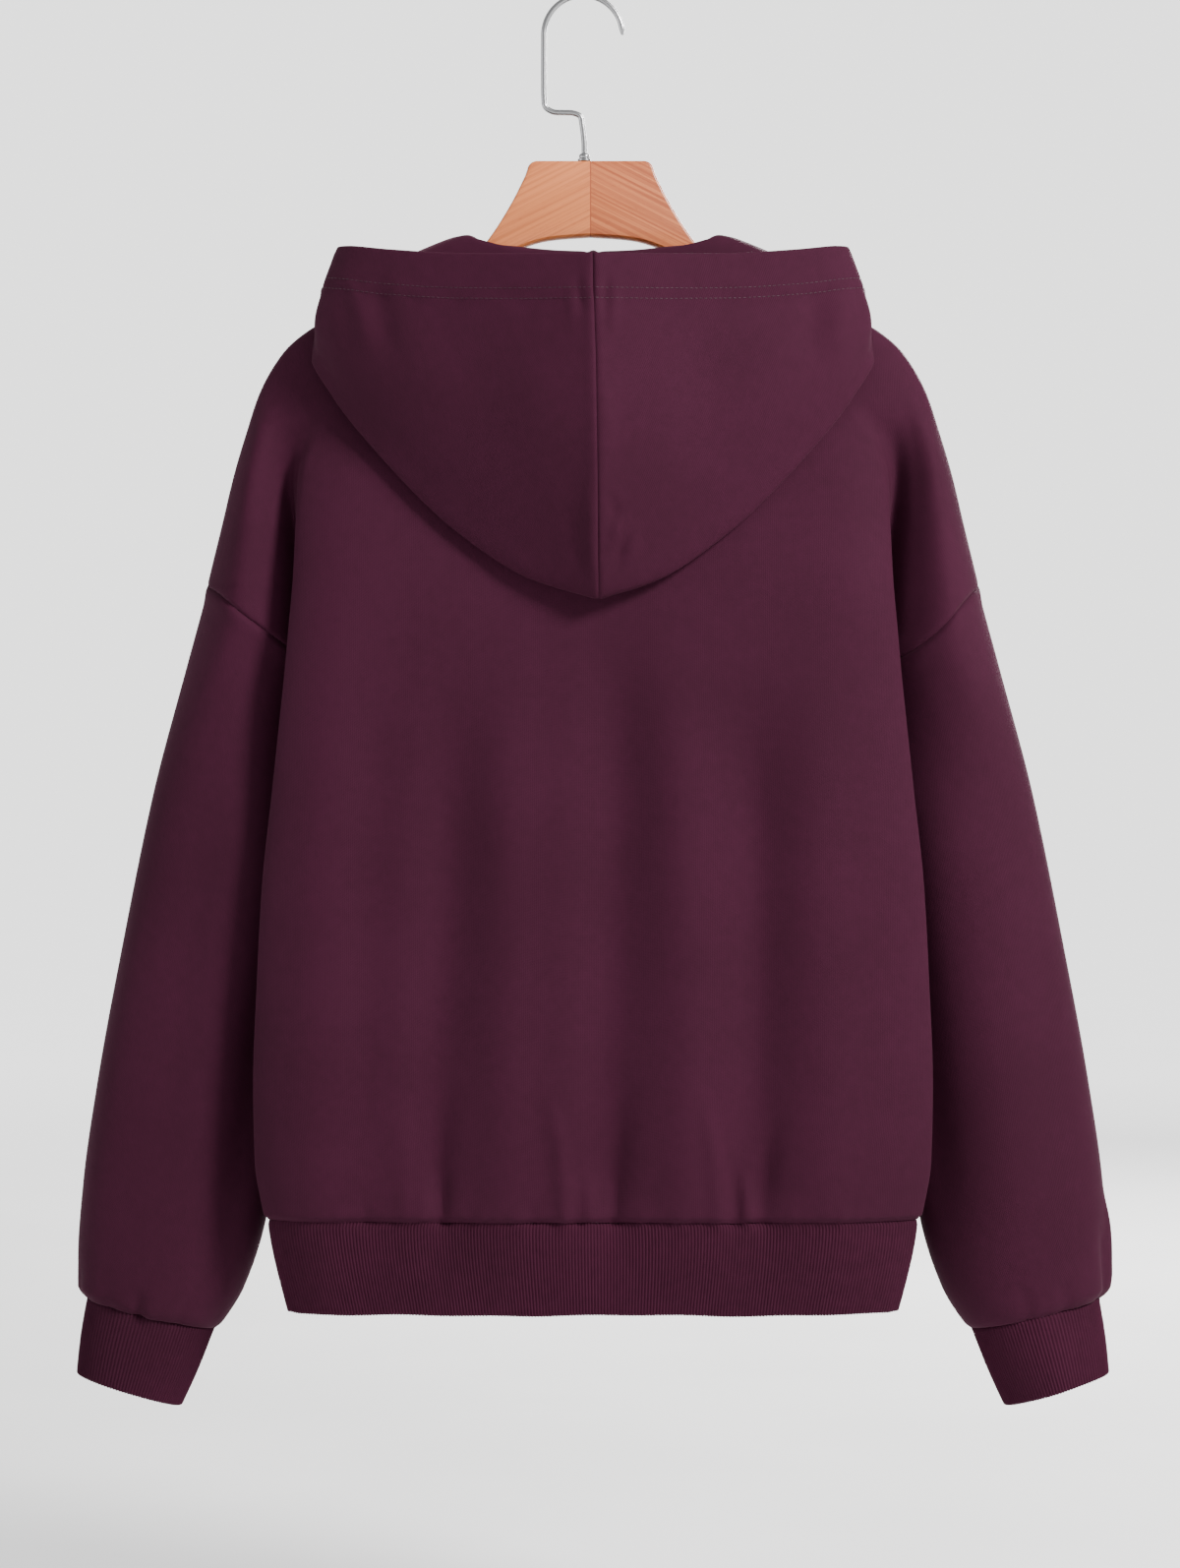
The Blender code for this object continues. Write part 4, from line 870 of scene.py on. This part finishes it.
# The cuffs: their lower edge, their creases, and how they swell out and are pulled in at the seam.
CuffEnd = namedtuple("CuffEnd", "outer_x outer_z inner_x inner_z depth middle")
CUFF_BOTTOM = CuffEnd(314.2, -832.5, 250.0, -853.0, 20.5, 11.0)
CUFF_CREASES = {
    -1: rows_of(SleeveCrease, (60, -0.2, 66, 1.1, 26, 0.8), (112, -0.2, 104, 1.1, 24, -0.8)),
    1: rows_of(SleeveCrease, (48, -0.2, 56, 1.1, 22, -1.0), (88, -0.2, 94, 1.1, 26, 0.9)),
}
CUFF_SWELL = 0.8
CUFF_PULL = 0.5

# The hem band: its lower edge and the points in a quarter of it; how the rows crowd at the seam; where
# the gathers fade least and over how far that comes; how it swells out and is pulled in at the seam;
# and how the lower edge waves and rises at the corners.
HemEnd = namedtuple("HemEnd", "z fold front_fold side side_y back front")
HEM_BOTTOM = HemEnd(-790.2, 182.0, 174.5, 171.5, 5.0, 46.5, 44.5)
HEM_POINTS = 400
RIB_CROWDING = 1.7
HEM_CORNERS = (150, 15)
HEM_SWELL = 1.4
HEM_PULL = 0.9
EDGE_WAVE = 0.35
CORNER_RISE = 0.7

RIB_DARK = (0.0240, 0.0033, 0.0109)
RIB_LIGHT = (0.0315, 0.0045, 0.0145)
rib = cloth_material("burgundy_rib_knit", RIB_DARK, RIB_LIGHT, 0.0009, 0.0013, 0.14, 0.04)


def smoothed(line, spread):
    """A line without its gathers; it comes in longer by half the spread at each end."""
    return np.stack([np.convolve(line[:, k], spread / spread.sum(), "valid") for k in range(3)], axis=1)


def rib_rings(seam, settled, bottom, down):
    """Rings from a gathered seam to the lower edge, in which the gathers soon fade."""
    gathers = np.exp(-down / GATHER_FADE)[..., None] * (seam - settled)
    return settled + down[..., None] * (bottom - settled) + gathers


def ribbed_piece(name, rings, wrap, outside):
    """A doubled wall with ribs on its outside and a rounded lower edge."""
    normals = outward(rings, outside, wrap)
    ribs = RIB_HEIGHT * np.cos(2 * math.pi * np.arange(rings.shape[1]) / RIB_SAMPLES)
    inner = rings - RIB_WALL * normals
    outer = rings + (ribs[None, :, None] - RIB_HEIGHT) * normals
    outer, inner = rounded_end(outer, inner)
    piece = cloth_piece(name, outer, inner, wrap)
    piece.data.materials.append(rib)
    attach(piece, "garment")
    return piece


for side, name in SIDES:
    angle = np.linspace(0, 2 * math.pi, CUFF_RIBS * RIB_SAMPLES, endpoint=False)
    known = np.linspace(0, 2 * math.pi, SLEEVE_COLUMNS + 1)
    last = np.concatenate([sleeves[side][-1], sleeves[side][-1][:1]])
    top = np.stack([np.interp(angle, known, last[:, k]) for k in range(3)], axis=-1)
    half, width = CUFF_SMOOTHING
    spread = np.exp(-((np.arange(-half, half + 1) / width) ** 2))
    settled = smoothed(np.concatenate([top[-half:], top, top[:half]]), spread)
    outer = np.array((side * CUFF_BOTTOM.outer_x, CUFF_BOTTOM.middle, CUFF_BOTTOM.outer_z))
    inner = np.array((side * CUFF_BOTTOM.inner_x, CUFF_BOTTOM.middle, CUFF_BOTTOM.inner_z))
    bottom = oval(outer, inner, np.array(CUFF_BOTTOM.depth), angle)
    down = np.linspace(0, 1, RIB_ROWS)[:, None]
    rings = rib_rings(top, settled, bottom, down)
    outside = rings - rings.mean(axis=1, keepdims=True)
    swell = -CUFF_PULL * np.exp(-((down / 0.05) ** 2)) + CUFF_SWELL * np.sin(math.pi * down)
    for crease in CUFF_CREASES[side]:
        middle = crease.angle_top + (crease.angle_bottom - crease.angle_top) * down
        swell = swell + crease.height * np.exp(-(((np.degrees(angle) - middle) / crease.width) ** 2))
    rings = rings + swell[..., None] * unit(outside)
    cuff = ribbed_piece(f"hoodie_cuff_{name}", rings, True, outside)
    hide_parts(f"cuff_{name}")


def hem_quarter(facing, side):
    """A quarter of the band's lower edge in plan, from the centre to the side."""
    end = HEM_BOTTOM
    fold = end.fold if facing < 0 else end.front_fold
    depth = end.back if facing < 0 else end.front
    plan = body_plan(fold, depth, end.side, end.side_y, facing)
    before = (-BODY_PLAN[1][0] * fold, facing * depth)
    after = (end.side + 1.0, end.side_y + 0.5 * (facing < 0) - 0.5)
    points = np.array([before, *plan, after])
    curve = spline(np.broadcast_to(points, (HEM_POINTS, *points.shape)), np.linspace(0, 6, HEM_POINTS))
    return np.column_stack([side * curve[:, 0], curve[:, 1], np.full(HEM_POINTS, end.z)])


def evenly(points, count):
    """Points at even distances along a line."""
    lengths = distances(points)
    at = np.linspace(0, lengths[-1], count)
    return np.stack([np.interp(at, lengths, points[:, k]) for k in range(3)], axis=1)


tops, bottoms = [], []
for facing, side in ((1, -1), (-1, -1), (-1, 1), (1, 1)):
    top, bottom = panels[facing, side][-1], hem_quarter(facing, side)
    if facing > 0:
        bottom = bottom[np.abs(bottom[:, 0]) > ZIP_OPENING]
    if facing == side:
        top, bottom = top[::-1], bottom[::-1]
    ribs = int(np.linalg.norm(np.diff(bottom, axis=0), axis=1).sum() / RIB_PITCH) * RIB_SAMPLES
    last = len(tops) == 3
    tops.append(evenly(top, ribs + 1)[: None if last else -1])
    bottoms.append(evenly(bottom, ribs + 1)[: None if last else -1])
top, bottom = np.concatenate(tops), np.concatenate(bottoms)
down = np.linspace(0, 1, RIB_ROWS)[:, None] ** RIB_CROWDING
half, width = HEM_SMOOTHING
spread = np.exp(-((np.arange(-half, half + 1) * RIB_PITCH / RIB_SAMPLES / width) ** 2))
settled = smoothed(np.pad(top, ((half, half), (0, 0)), mode="reflect", reflect_type="odd"), spread)
settled += eased((np.abs(top[:, :1]) - HEM_CORNERS[0]) / HEM_CORNERS[1]) * (top - settled)
rings = rib_rings(top, settled, bottom, down)
wave = 1.1 * np.sin(top[:, 0] / 23 + 0.6) + 0.7 * np.sin(top[:, 0] / 9.5 + 2)
outside = rings - rings.mean(axis=1, keepdims=True)
outside[..., 2] = 0
swell = HEM_SWELL * np.sin(math.pi * down**0.7) - HEM_PULL * np.exp(-((down / 0.03) ** 2))
swell = swell + wave * 0.5 * down * (1.2 - down)
rings = rings + swell[..., None] * unit(outside)
corner = eased((np.abs(bottom[:, 0]) - 175) / 7)
rings[..., 2] += (EDGE_WAVE * wave + CORNER_RISE * corner) * down**6
hem = ribbed_piece("hoodie_hem_band", rings, False, outside)
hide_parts("hem_band")

# Sewing that shows: two rows of stitches round the hood's casing, and one beside the zip on each front.
# Each stitch is a short, slightly plump length of thread lying on the cloth.

# The stitches, in metres, and then in millimetres how far the fronts' row lies from the edge and how high
# the middle of the thread is over the cloth.
STITCH_PITCH = 0.0030
STITCH_LENGTH = 0.0023
STITCH_THICKNESS = 0.00036
TOPSTITCH = 6.0
ABOVE_CLOTH = 0.12
THREAD_DARK = (0.017, 0.0022, 0.0075)
THREAD_LIGHT = (0.028, 0.0042, 0.0130)

thread, shader, start = new_material("burgundy_thread")
place = start.place()
join(place.noise(900.0).ramp(0.3, 0.7).between(THREAD_DARK, THREAD_LIGHT), shader, "Base Color")
all_over(shader, {"Roughness": 0.6})


def node_group(name, **inputs):
    """A new Geometry Nodes tree with these named inputs: the tree and a value for each input."""
    tree = bpy.data.node_groups.new(name, "GeometryNodeTree")
    tree.interface.new_socket("Geometry", in_out="INPUT", socket_type="NodeSocketGeometry")
    for label, kind in inputs.items():
        tree.interface.new_socket(label, in_out="INPUT", socket_type=f"NodeSocket{kind}")
    tree.interface.new_socket("Geometry", in_out="OUTPUT", socket_type="NodeSocketGeometry")
    entry = tree.nodes.new("NodeGroupInput")
    return tree, {socket.name: Value(tree, socket) for socket in entry.outputs if socket.name}


def close_group(tree, placed, material):
    """Ends a tree: its instances become one mesh of this material."""
    real = placed.node("GeometryNodeRealizeInstances", (), {0: placed})
    painted = real.node("GeometryNodeSetMaterial", (), {"Geometry": real, "Material": material})
    tree.links.new(painted.socket, tree.nodes.new("NodeGroupOutput").inputs[0])


def grown(name, lines, tree, inputs):
    """The mesh that a Geometry Nodes tree makes along some lines."""
    points = [Vector(p) for line in lines for p in line]
    starts = np.cumsum([0] + [len(line) for line in lines])
    edges = [(i, i + 1) for a, b in zip(starts, starts[1:]) for i in range(a, b - 1)]
    mesh = bpy.data.meshes.new(name)
    mesh.from_pydata(points, [(int(a), int(b)) for a, b in edges], [])
    item = added(name, mesh)
    modifier = item.modifiers.new("grow", "NODES")
    modifier.node_group = tree
    for socket in tree.interface.items_tree:
        if socket.in_out == "INPUT" and socket.name in inputs:
            modifier[socket.identifier] = inputs[socket.name]
    graph = bpy.context.evaluated_depsgraph_get()
    made = bpy.data.meshes.new_from_object(item.evaluated_get(graph))
    item.modifiers.clear()
    item.data = made
    made.shade_smooth()
    return item


stitch_tree, entry = node_group(
    "stitches", Pitch="Float", Length="Float", Thickness="Float", Thread="Material"
)
line = entry["Geometry"].node("GeometryNodeMeshToCurve", (), {0: entry["Geometry"]})
line = line.node("GeometryNodeResampleCurve", {"mode": "LENGTH"}, {"Curve": line, "Length": entry["Pitch"]})
tangent = line.node("GeometryNodeInputTangent")
turn = line.node("FunctionNodeAlignRotationToVector", {"axis": "Z"}, {"Vector": tangent})
ball = line.node("GeometryNodeMeshUVSphere", (), {"Segments": 6, "Rings": 5, "Radius": 0.5})
size = line.vector(entry["Thickness"], entry["Thickness"], entry["Length"])
ball = line.node("GeometryNodeTransform", (), {"Geometry": ball, "Scale": size})
sockets = {"Min": (0.9, 0.9, 0.85), "Max": (1.1, 1.1, 1.1), "Seed": 7}
uneven = line.node("FunctionNodeRandomValue", {"data_type": "FLOAT_VECTOR"}, sockets)
sockets = {"Points": line, "Instance": ball, "Rotation": turn, "Scale": uneven}
placed = line.node("GeometryNodeInstanceOnPoints", (), sockets)
close_group(stitch_tree, placed, entry["Thread"])


def on_frame(points):
    """Garment points in millimetres as points of the frame."""
    return (np.asarray(points) + np.array((GARMENT_X, 0.0, 0.0))) * MM


def casing_line(side, distance):
    """A line on the hood at one distance from the face edge."""
    outer, normals, from_face = hood_outsides[side]
    line = []
    for k in range(1, outer.shape[1]):
        raised = outer[:, k] + ABOVE_CLOTH * normals[:, k]
        late = slice(HOOD_ROWS // 2, None)
        known = from_face[late, k][::-1]
        line.append([np.interp(distance, known, raised[late, c][::-1]) for c in range(3)])
    return np.array(line)


def topstitch_line(side):
    """A line down a front, beside the zip."""
    raised = panels[1, side] + ABOVE_CLOTH * front_normals[side]
    line = []
    for row in raised[4:-2]:
        line.append([np.interp(ZIP_OPENING + TOPSTITCH, np.abs(row[:, 0]), row[:, c]) for c in range(3)])
    return np.array(line)


sewing = {"Pitch": STITCH_PITCH, "Length": STITCH_LENGTH, "Thickness": STITCH_THICKNESS, "Thread": thread}
rows = [on_frame(casing_line(side, distance)) for side in (-1, 1) for distance in CASING_LINES]
casing_stitches = grown("casing_stitches", rows, stitch_tree, sewing)
rows = [on_frame(topstitch_line(side)) for side in (-1, 1)]
zip_stitches = grown("zip_topstitches", rows, stitch_tree, sewing)
for item in (casing_stitches, zip_stitches):
    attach(item, "garment")

# The zip. Two woven tapes lie inside the front edges, and nickel-coloured teeth grip each other from
# both sides along the opening, up to the slider near the neck.

# The chain's ends, how far behind the fronts' faces it lies, and how far the hem band draws it in.
CHAIN_TOP = -247.0
CHAIN_BOTTOM = -783.0
CHAIN_DEPTH = 4.15
CHAIN_TUCK = 1.5

# The teeth, in metres: their pitch and size, and how far they stand to each side.
TOOTH_PITCH = 0.00125
TOOTH_SIZE = (0.0030, 0.0021, 0.0010)
TOOTH_SPREAD = 0.00115
NICKEL_DARK = (0.17, 0.165, 0.155)
NICKEL_LIGHT = (0.27, 0.26, 0.245)
TAPE_DARK = (0.020, 0.0030, 0.0080)
TAPE_LIGHT = (0.034, 0.0060, 0.0145)

nickel, shader, start = new_material("nickel")
place = start.place()
grain = place.noise(700.0, 3.0)
join(grain.between(NICKEL_DARK, NICKEL_LIGHT), shader, "Base Color")
join(grain * 0.06 + 0.13, shader, "Roughness")
join(grain.bump(0.04, 0.0002), shader, "Normal")
all_over(shader, {"Metallic": 1.0})

teeth_tree, entry = node_group("zip_teeth", Pitch="Float", Spread="Float", Tooth="Vector", Metal="Material")
line = entry["Geometry"].node("GeometryNodeMeshToCurve", (), {0: entry["Geometry"]})
line = line.node("GeometryNodeResampleCurve", {"mode": "LENGTH"}, {"Curve": line, "Length": entry["Pitch"]})
order = line.node("GeometryNodeInputIndex")
swing = (order.maths("MODULO", 2.0) * 2.0 - 1.0) * entry["Spread"]
line = line.node("GeometryNodeSetPosition", (), {"Geometry": line, "Offset": line.vector(swing, 0.0, 0.0)})
tooth = line.node("GeometryNodeMeshCube", (), {"Size": entry["Tooth"]})
tooth = line.node("GeometryNodeSubdivisionSurface", (), {"Mesh": tooth, "Level": 1, "Edge Crease": 0.55})
placed = line.node("GeometryNodeInstanceOnPoints", (), {"Points": line, "Instance": tooth})
close_group(teeth_tree, placed, entry["Metal"])

heights = np.linspace(CHAIN_TOP, CHAIN_BOTTOM, 120)
seam_z, hem_z = PANEL_ROWS[-1].side, HEM_BOTTOM.z
front_y = column(BODY_LEVELS, "front", heights)
front_y = front_y - CHAIN_TUCK * np.clip((seam_z - heights) / (seam_z - hem_z), 0, 1)
chain = np.column_stack([0 * heights, front_y - CHAIN_DEPTH, heights])
sizes = {"Pitch": TOOTH_PITCH, "Spread": TOOTH_SPREAD, "Tooth": TOOTH_SIZE, "Metal": nickel}
teeth = grown("zip_teeth", [on_frame(chain)], teeth_tree, sizes)
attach(teeth, "garment")
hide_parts("zip_chain")

tape, shader, start = new_material("woven_zip_tape")
x, y, z = start.place().parts()
weave = (x * 9000.0).maths("SINE") * (z * 7000.0 + x * 4500.0).maths("SINE")
join(weave.ramp(-1.0, 1.0).between(TAPE_DARK, TAPE_LIGHT), shader, "Base Color")
join(weave.bump(0.25, 0.0002), shader, "Normal")
all_over(shader, {"Roughness": 0.85, "Specular IOR Level": 0.2})
for piece in ("tape_left", "tape_right", "slider", "pull_tab", "bottom_box"):
    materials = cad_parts[f"zip_{piece}"].data.materials
    materials.clear()
    materials.append(tape if "tape" in piece else nickel)

# The hanger. Its arms are two flat pieces of reddish beech, glued at the centre so that the grain
# meets in a chevron, then rounded at the edges and lacquered.

# The outline of one arm from the neck to the tip and back, in x and z from the centre; the arch below
# the centre and how round it and the other edges are; and normals of flat faces and of the arch's wall.
HANGER_X = 4.5
WOOD_THICKNESS = 9.0
FLANK = ((38.6, -106), (46.5, -122), (56, -138), (66, -152), (74, -162), (92, -173.5))
UNDERSIDE = ((146, -220.5), (110, -201), (80, -176), (55, -158.5), (30, -148), (0, -145))
ARCH_TOP = -140.0
ARCH_HALF = 105.0
ARCH_ROUNDING = 3.6
EDGE_ROUNDING = 1.6
FLAT = 0.99
DOWNWARD = -0.2
TOUCHING = 1e-6
GRAIN_TILT = math.radians(27)
BEECH_DARK = (0.240, 0.042, 0.0070)
BEECH_LIGHT = (0.51, 0.152, 0.042)


def through(points, count):
    """A smooth flat curve through some points."""
    points = np.array(points, float)
    guided = np.concatenate([points[:1], points, points[-1:]])
    at = np.linspace(0, len(points) - 1, count)
    return spline(np.broadcast_to(guided, (count, *guided.shape)), at)


def arc(centre, radius, start, end, count):
    """Points along a circle, between two angles in degrees."""
    angles = np.radians(np.linspace(start, end, count))
    return np.column_stack([centre[0] + radius * np.cos(angles), centre[1] + radius * np.sin(angles)])


half_outline = np.concatenate(
    [
        arc((32.3, -105.0), 6.0, 90, 8, 8),
        through(FLANK, 28)[1:],
        [(132.0, -194.0), (161.0, -210.0)],
        arc((160.0, -219.0), 9.0, 75, -110, 10),
        through(UNDERSIDE, 32),
    ]
)
mirrored = half_outline[:-1][::-1] * np.array((-1.0, 1.0))
outline = np.concatenate([half_outline, mirrored])


def is_rim(edge, below):
    """Whether an edge borders one of the flat faces, on the arch below or all round the rest."""
    ends = [vertex.co for vertex in edge.verts]
    level = abs(ends[0].y - ends[1].y) < TOUCHING
    at_face = min(abs(abs(end.y) - WOOD_THICKNESS / 2 * MM) for end in ends) < TOUCHING
    if not (level and at_face and len(edge.link_faces) == 2):
        return False
    flat = [abs(face.normal.y) > FLAT for face in edge.link_faces]
    under = all(abs(end.x - HANGER_X * MM) < ARCH_HALF * MM and end.z < ARCH_TOP * MM for end in ends)
    arch = under and min(face.normal.z for face in edge.link_faces) < DOWNWARD
    return any(flat) and not all(flat) and arch == below


shape = bmesh.new()
front_face = shape.faces.new(
    [shape.verts.new(((HANGER_X + x) * MM, -WOOD_THICKNESS / 2 * MM, z * MM)) for x, z in outline]
)
pulled = bmesh.ops.extrude_face_region(shape, geom=[front_face])["geom"]
moved = [v for v in pulled if isinstance(v, bmesh.types.BMVert)]
bmesh.ops.translate(shape, verts=moved, vec=(0, WOOD_THICKNESS * MM, 0))
bmesh.ops.recalc_face_normals(shape, faces=shape.faces)
for below, radius in ((True, ARCH_ROUNDING), (False, EDGE_ROUNDING)):
    rims = [edge for edge in shape.edges if is_rim(edge, below)]
    bmesh.ops.bevel(shape, geom=rims, offset=radius * MM, segments=4, profile=0.5, affect="EDGES")
bmesh.ops.recalc_face_normals(shape, faces=shape.faces)
mesh = bpy.data.meshes.new("hanger_arms")
shape.to_mesh(mesh)
shape.free()
mesh.shade_smooth()
mesh.set_sharp_from_angle(angle=math.radians(30))
arms = added("hanger_arms", mesh)

beech, shader, start = new_material("reddish_beech")
x, y, z = start.place().parts()
across_x = (x - HANGER_X * MM).maths("ABSOLUTE")
other_half = (x - HANGER_X * MM).maths("GREATER_THAN", 0.0)
along_grain = across_x * math.cos(GRAIN_TILT) - z * math.sin(GRAIN_TILT)
over_grain = z * math.cos(GRAIN_TILT) + across_x * math.sin(GRAIN_TILT)
place = start.vector(along_grain * 9.0 + other_half * 3.0, y * 90.0, over_grain * 900.0)
streaks = place.noise(1.0, 4.0)
wander = start.vector(along_grain * 14.0, y * 9.0, over_grain * 26.0 + other_half * 2.0).noise(1.0, 2.0)
rings = (over_grain * 1500.0 + wander * 9.0).maths("SINE")
flecks = start.vector(along_grain * 260.0, y * 900.0, over_grain * 1700.0).noise(1.0, 2.0).ramp(0.60, 0.72)
# The left arm's tone is raised by 0.34 over the right arm's: painted sheen, standing in for the light that
# its grain reflects more strongly.
tone = streaks.ramp(0.30, 0.70) * 0.40 + rings * 0.05 + wander * 0.22 + (1.0 - other_half) * 0.34 + 0.02
glue = across_x.ramp(0.00015, 0.0005)
tone = tone * glue - flecks * 0.22 * glue
join((tone + 0.08).ramp(0.0, 1.0).between(BEECH_DARK, BEECH_LIGHT), shader, "Base Color")
join((streaks * 0.6 - flecks * 0.5 + glue * 0.8).bump(0.10, 0.0004), shader, "Normal")
join(streaks * 0.15 + 0.36, shader, "Roughness")
all_over(shader, {"Coat Weight": 0.15, "Coat Roughness": 0.25})
mesh.materials.append(beech)
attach(arms, "garment")
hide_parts("hanger_wood")

# The hook is plated steel wire, bent round as a bow and then back to the centre. It is screwed into the
# wood through a small turned collar.

WIRE_RADIUS = 1.7
HOOK_RADIUS = 23.8

# The wire's middle line in x and z up to the bow, and the collar's radii and heights.
WIRE_BENDS = (
    (0.8, -93.9), (0.6, -86.0), (-0.6, -76.0), (-1.8, -71.5), (-6.0, -69.5), (-12.0, -69.2),
    (-18.0, -68.8), (-22.6, -66.0), (-23.6, -61.0), (-23.8, -50.0), (-23.8, -36.0),
)
COLLAR = (
    (0.05, -98.7), (4.0, -98.7), (4.0, -97.6), (3.0, -96.9),
    (3.2, -96.2), (3.2, -95.0), (2.4, -94.2), (1.9, -94.2),
)
TIP_ROWS = 6
STEEL_DARK = (0.27, 0.27, 0.275)
STEEL_LIGHT = (0.32, 0.32, 0.325)

steel, shader, start = new_material("plated_steel")
x, y, z = start.place().parts()
drawn = start.vector(x * 40.0, y * 40.0, z * 12.0).noise(1.0, 2.0)
join(drawn.between(STEEL_DARK, STEEL_LIGHT), shader, "Base Color")
join(drawn * 0.06 + 0.27, shader, "Roughness")
all_over(shader, {"Metallic": 1.0})


def swept(name, path, radii, sides=24):
    """A round bar along a path in the XZ plane, with a radius at each point."""
    path = np.column_stack([path[:, 0], 0 * path[:, 0], path[:, 1]])
    ahead = unit(np.gradient(path, axis=0))
    across = np.cross(ahead, (0.0, 1.0, 0.0))
    angles = np.linspace(0, 2 * math.pi, sides, endpoint=False)
    vertices, faces = [], []
    for point, sideways, radius in zip(path, across, radii):
        for a in angles:
            spoke = math.cos(a) * sideways + math.sin(a) * np.array((0, 1, 0))
            vertices.append((point + radius * spoke) * MM)
    for i in range(len(path) - 1):
        for j in range(sides):
            a, b = i * sides + j, i * sides + (j + 1) % sides
            faces.append((a, b, b + sides, a + sides))
    faces += [tuple(range(sides)), tuple(range((len(path) - 1) * sides, len(path) * sides))]
    mesh = bpy.data.meshes.new(name)
    mesh.from_pydata([tuple(v) for v in vertices], [], faces)
    face_outwards(mesh)
    mesh.set_sharp_from_angle(angle=math.radians(50))
    mesh.materials.append(steel)
    return added(name, mesh)


bow = arc((0.0, WIRE_RADIUS - HOOK_RADIUS), HOOK_RADIUS, 180, 0, 72)
route = np.concatenate([through(WIRE_BENDS, 120), bow[1:]])
tip = WIRE_RADIUS * np.sqrt(1 - np.linspace(0, 0.92, TIP_ROWS) ** 2)
radii = np.concatenate([np.full(len(route) - TIP_ROWS, WIRE_RADIUS), tip])
wire = swept("hook_wire", route, radii)
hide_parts("hanger_hook")
radii, heights = np.array(COLLAR).T
path = np.column_stack([np.full(len(COLLAR), WIRE_BENDS[0][0]), heights])
collar = swept("hook_ferrule", path, radii)
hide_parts("hook_collar")
for item in (wire, collar):
    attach(item, "garment")

# The room: a plain pale floor under the garment, which glows more with distance as painted light that fades
# it into the backdrop;
# a soft light from the upper right, a weaker one from the left and one from behind, on the zip's side.

FLOOR_Z = -1.05
CAMERA = Vector((0.0042, -2.055, -0.4759))
VIEW_HEIGHT = 0.9245
VIEW_DISTANCE = 2.0
FLOOR_REACH = 40.0
FLOOR_TONES = ((0.70, 0.70, 0.70), (0.74, 0.74, 0.74))
FLOOR_PAINTED_GLOW = ((0.08, 0.08, 0.08), (1.72, 1.72, 1.72))


def area_light(name, place, target, size, power, color):
    """A round soft light at a place, turned to a target."""
    light = bpy.data.lights.new(name, "AREA")
    light.shape, light.size, light.energy, light.color = "DISK", size, power, color
    lamp = added(name, light)
    lamp.location = place
    lamp.rotation_euler = (Vector(target) - Vector(place)).to_track_quat("-Z", "Y").to_euler()


floor_mesh = bpy.data.meshes.new("floor")
corners = ((-1, -1), (1, -1), (1, 1), (-1, 1))
floor_mesh.from_pydata([(x * FLOOR_REACH, y * FLOOR_REACH, FLOOR_Z) for x, y in corners], [], [(0, 1, 2, 3)])
floor = added("floor", floor_mesh)
paint, shader, start = new_material("pale_floor")
place = start.place()
join(place.noise(3.0, 4.0).ramp(0.3, 0.7).between(*FLOOR_TONES), shader, "Base Color")
across, along, _ = place.parts()
distance = (across * across + along * along).maths("SQRT")
# Painted light: the floor's own glow grows from faint near the garment to bright far off, so that it meets
# the pale backdrop.
join(distance.ramp(0.8, 5.0).between(*FLOOR_PAINTED_GLOW), shader, "Emission Color")
all_over(shader, {"Emission Strength": 1.0, "Roughness": 0.8})
floor_mesh.materials.append(paint)

area_light("key", (1.8, -1.5, 1.15), (0.0, 0.0, -0.30), 0.8, 196.0, (1.0, 0.99, 0.98))
area_light("fill", (-2.4, -0.8, 0.1), (0.0, 0.0, -0.5), 1.6, 20.0, (0.97, 0.98, 1.0))
area_light("rear", (1.0, 2.4, 0.8), (0.0, 0.0, -0.45), 1.2, 150.0, (1.0, 0.99, 0.98))

# The air lights the garment weakly, and the view sees it as a pale wall.
world = bpy.data.worlds.new("room")
world.use_nodes = True
nodes, links = world.node_tree.nodes, world.node_tree.links
lit, seen = nodes["Background"], nodes.new("ShaderNodeBackground")
all_over(lit, {"Color": (0.99, 0.99, 1.0, 1.0), "Strength": 0.70})
all_over(seen, {"Color": (1.0, 1.0, 0.995, 1.0), "Strength": 2.25})
rays, either = nodes.new("ShaderNodeLightPath"), nodes.new("ShaderNodeMixShader")
for source, target in ((rays.outputs["Is Camera Ray"], 0), (lit.outputs[0], 1), (seen.outputs[0], 2)):
    links.new(source, either.inputs[target])
links.new(either.outputs[0], nodes["World Output"].inputs["Surface"])
bpy.context.scene.world = world

view = bpy.data.cameras.new("view")
view.sensor_fit = "VERTICAL"
view.sensor_height = 24.0
view.lens = view.sensor_height / 2 / (VIEW_HEIGHT / 2 / VIEW_DISTANCE)
eye = added("view", view)
eye.location = CAMERA
eye.rotation_euler = (math.pi / 2, 0.0, 0.0)
bpy.context.scene.camera = eye
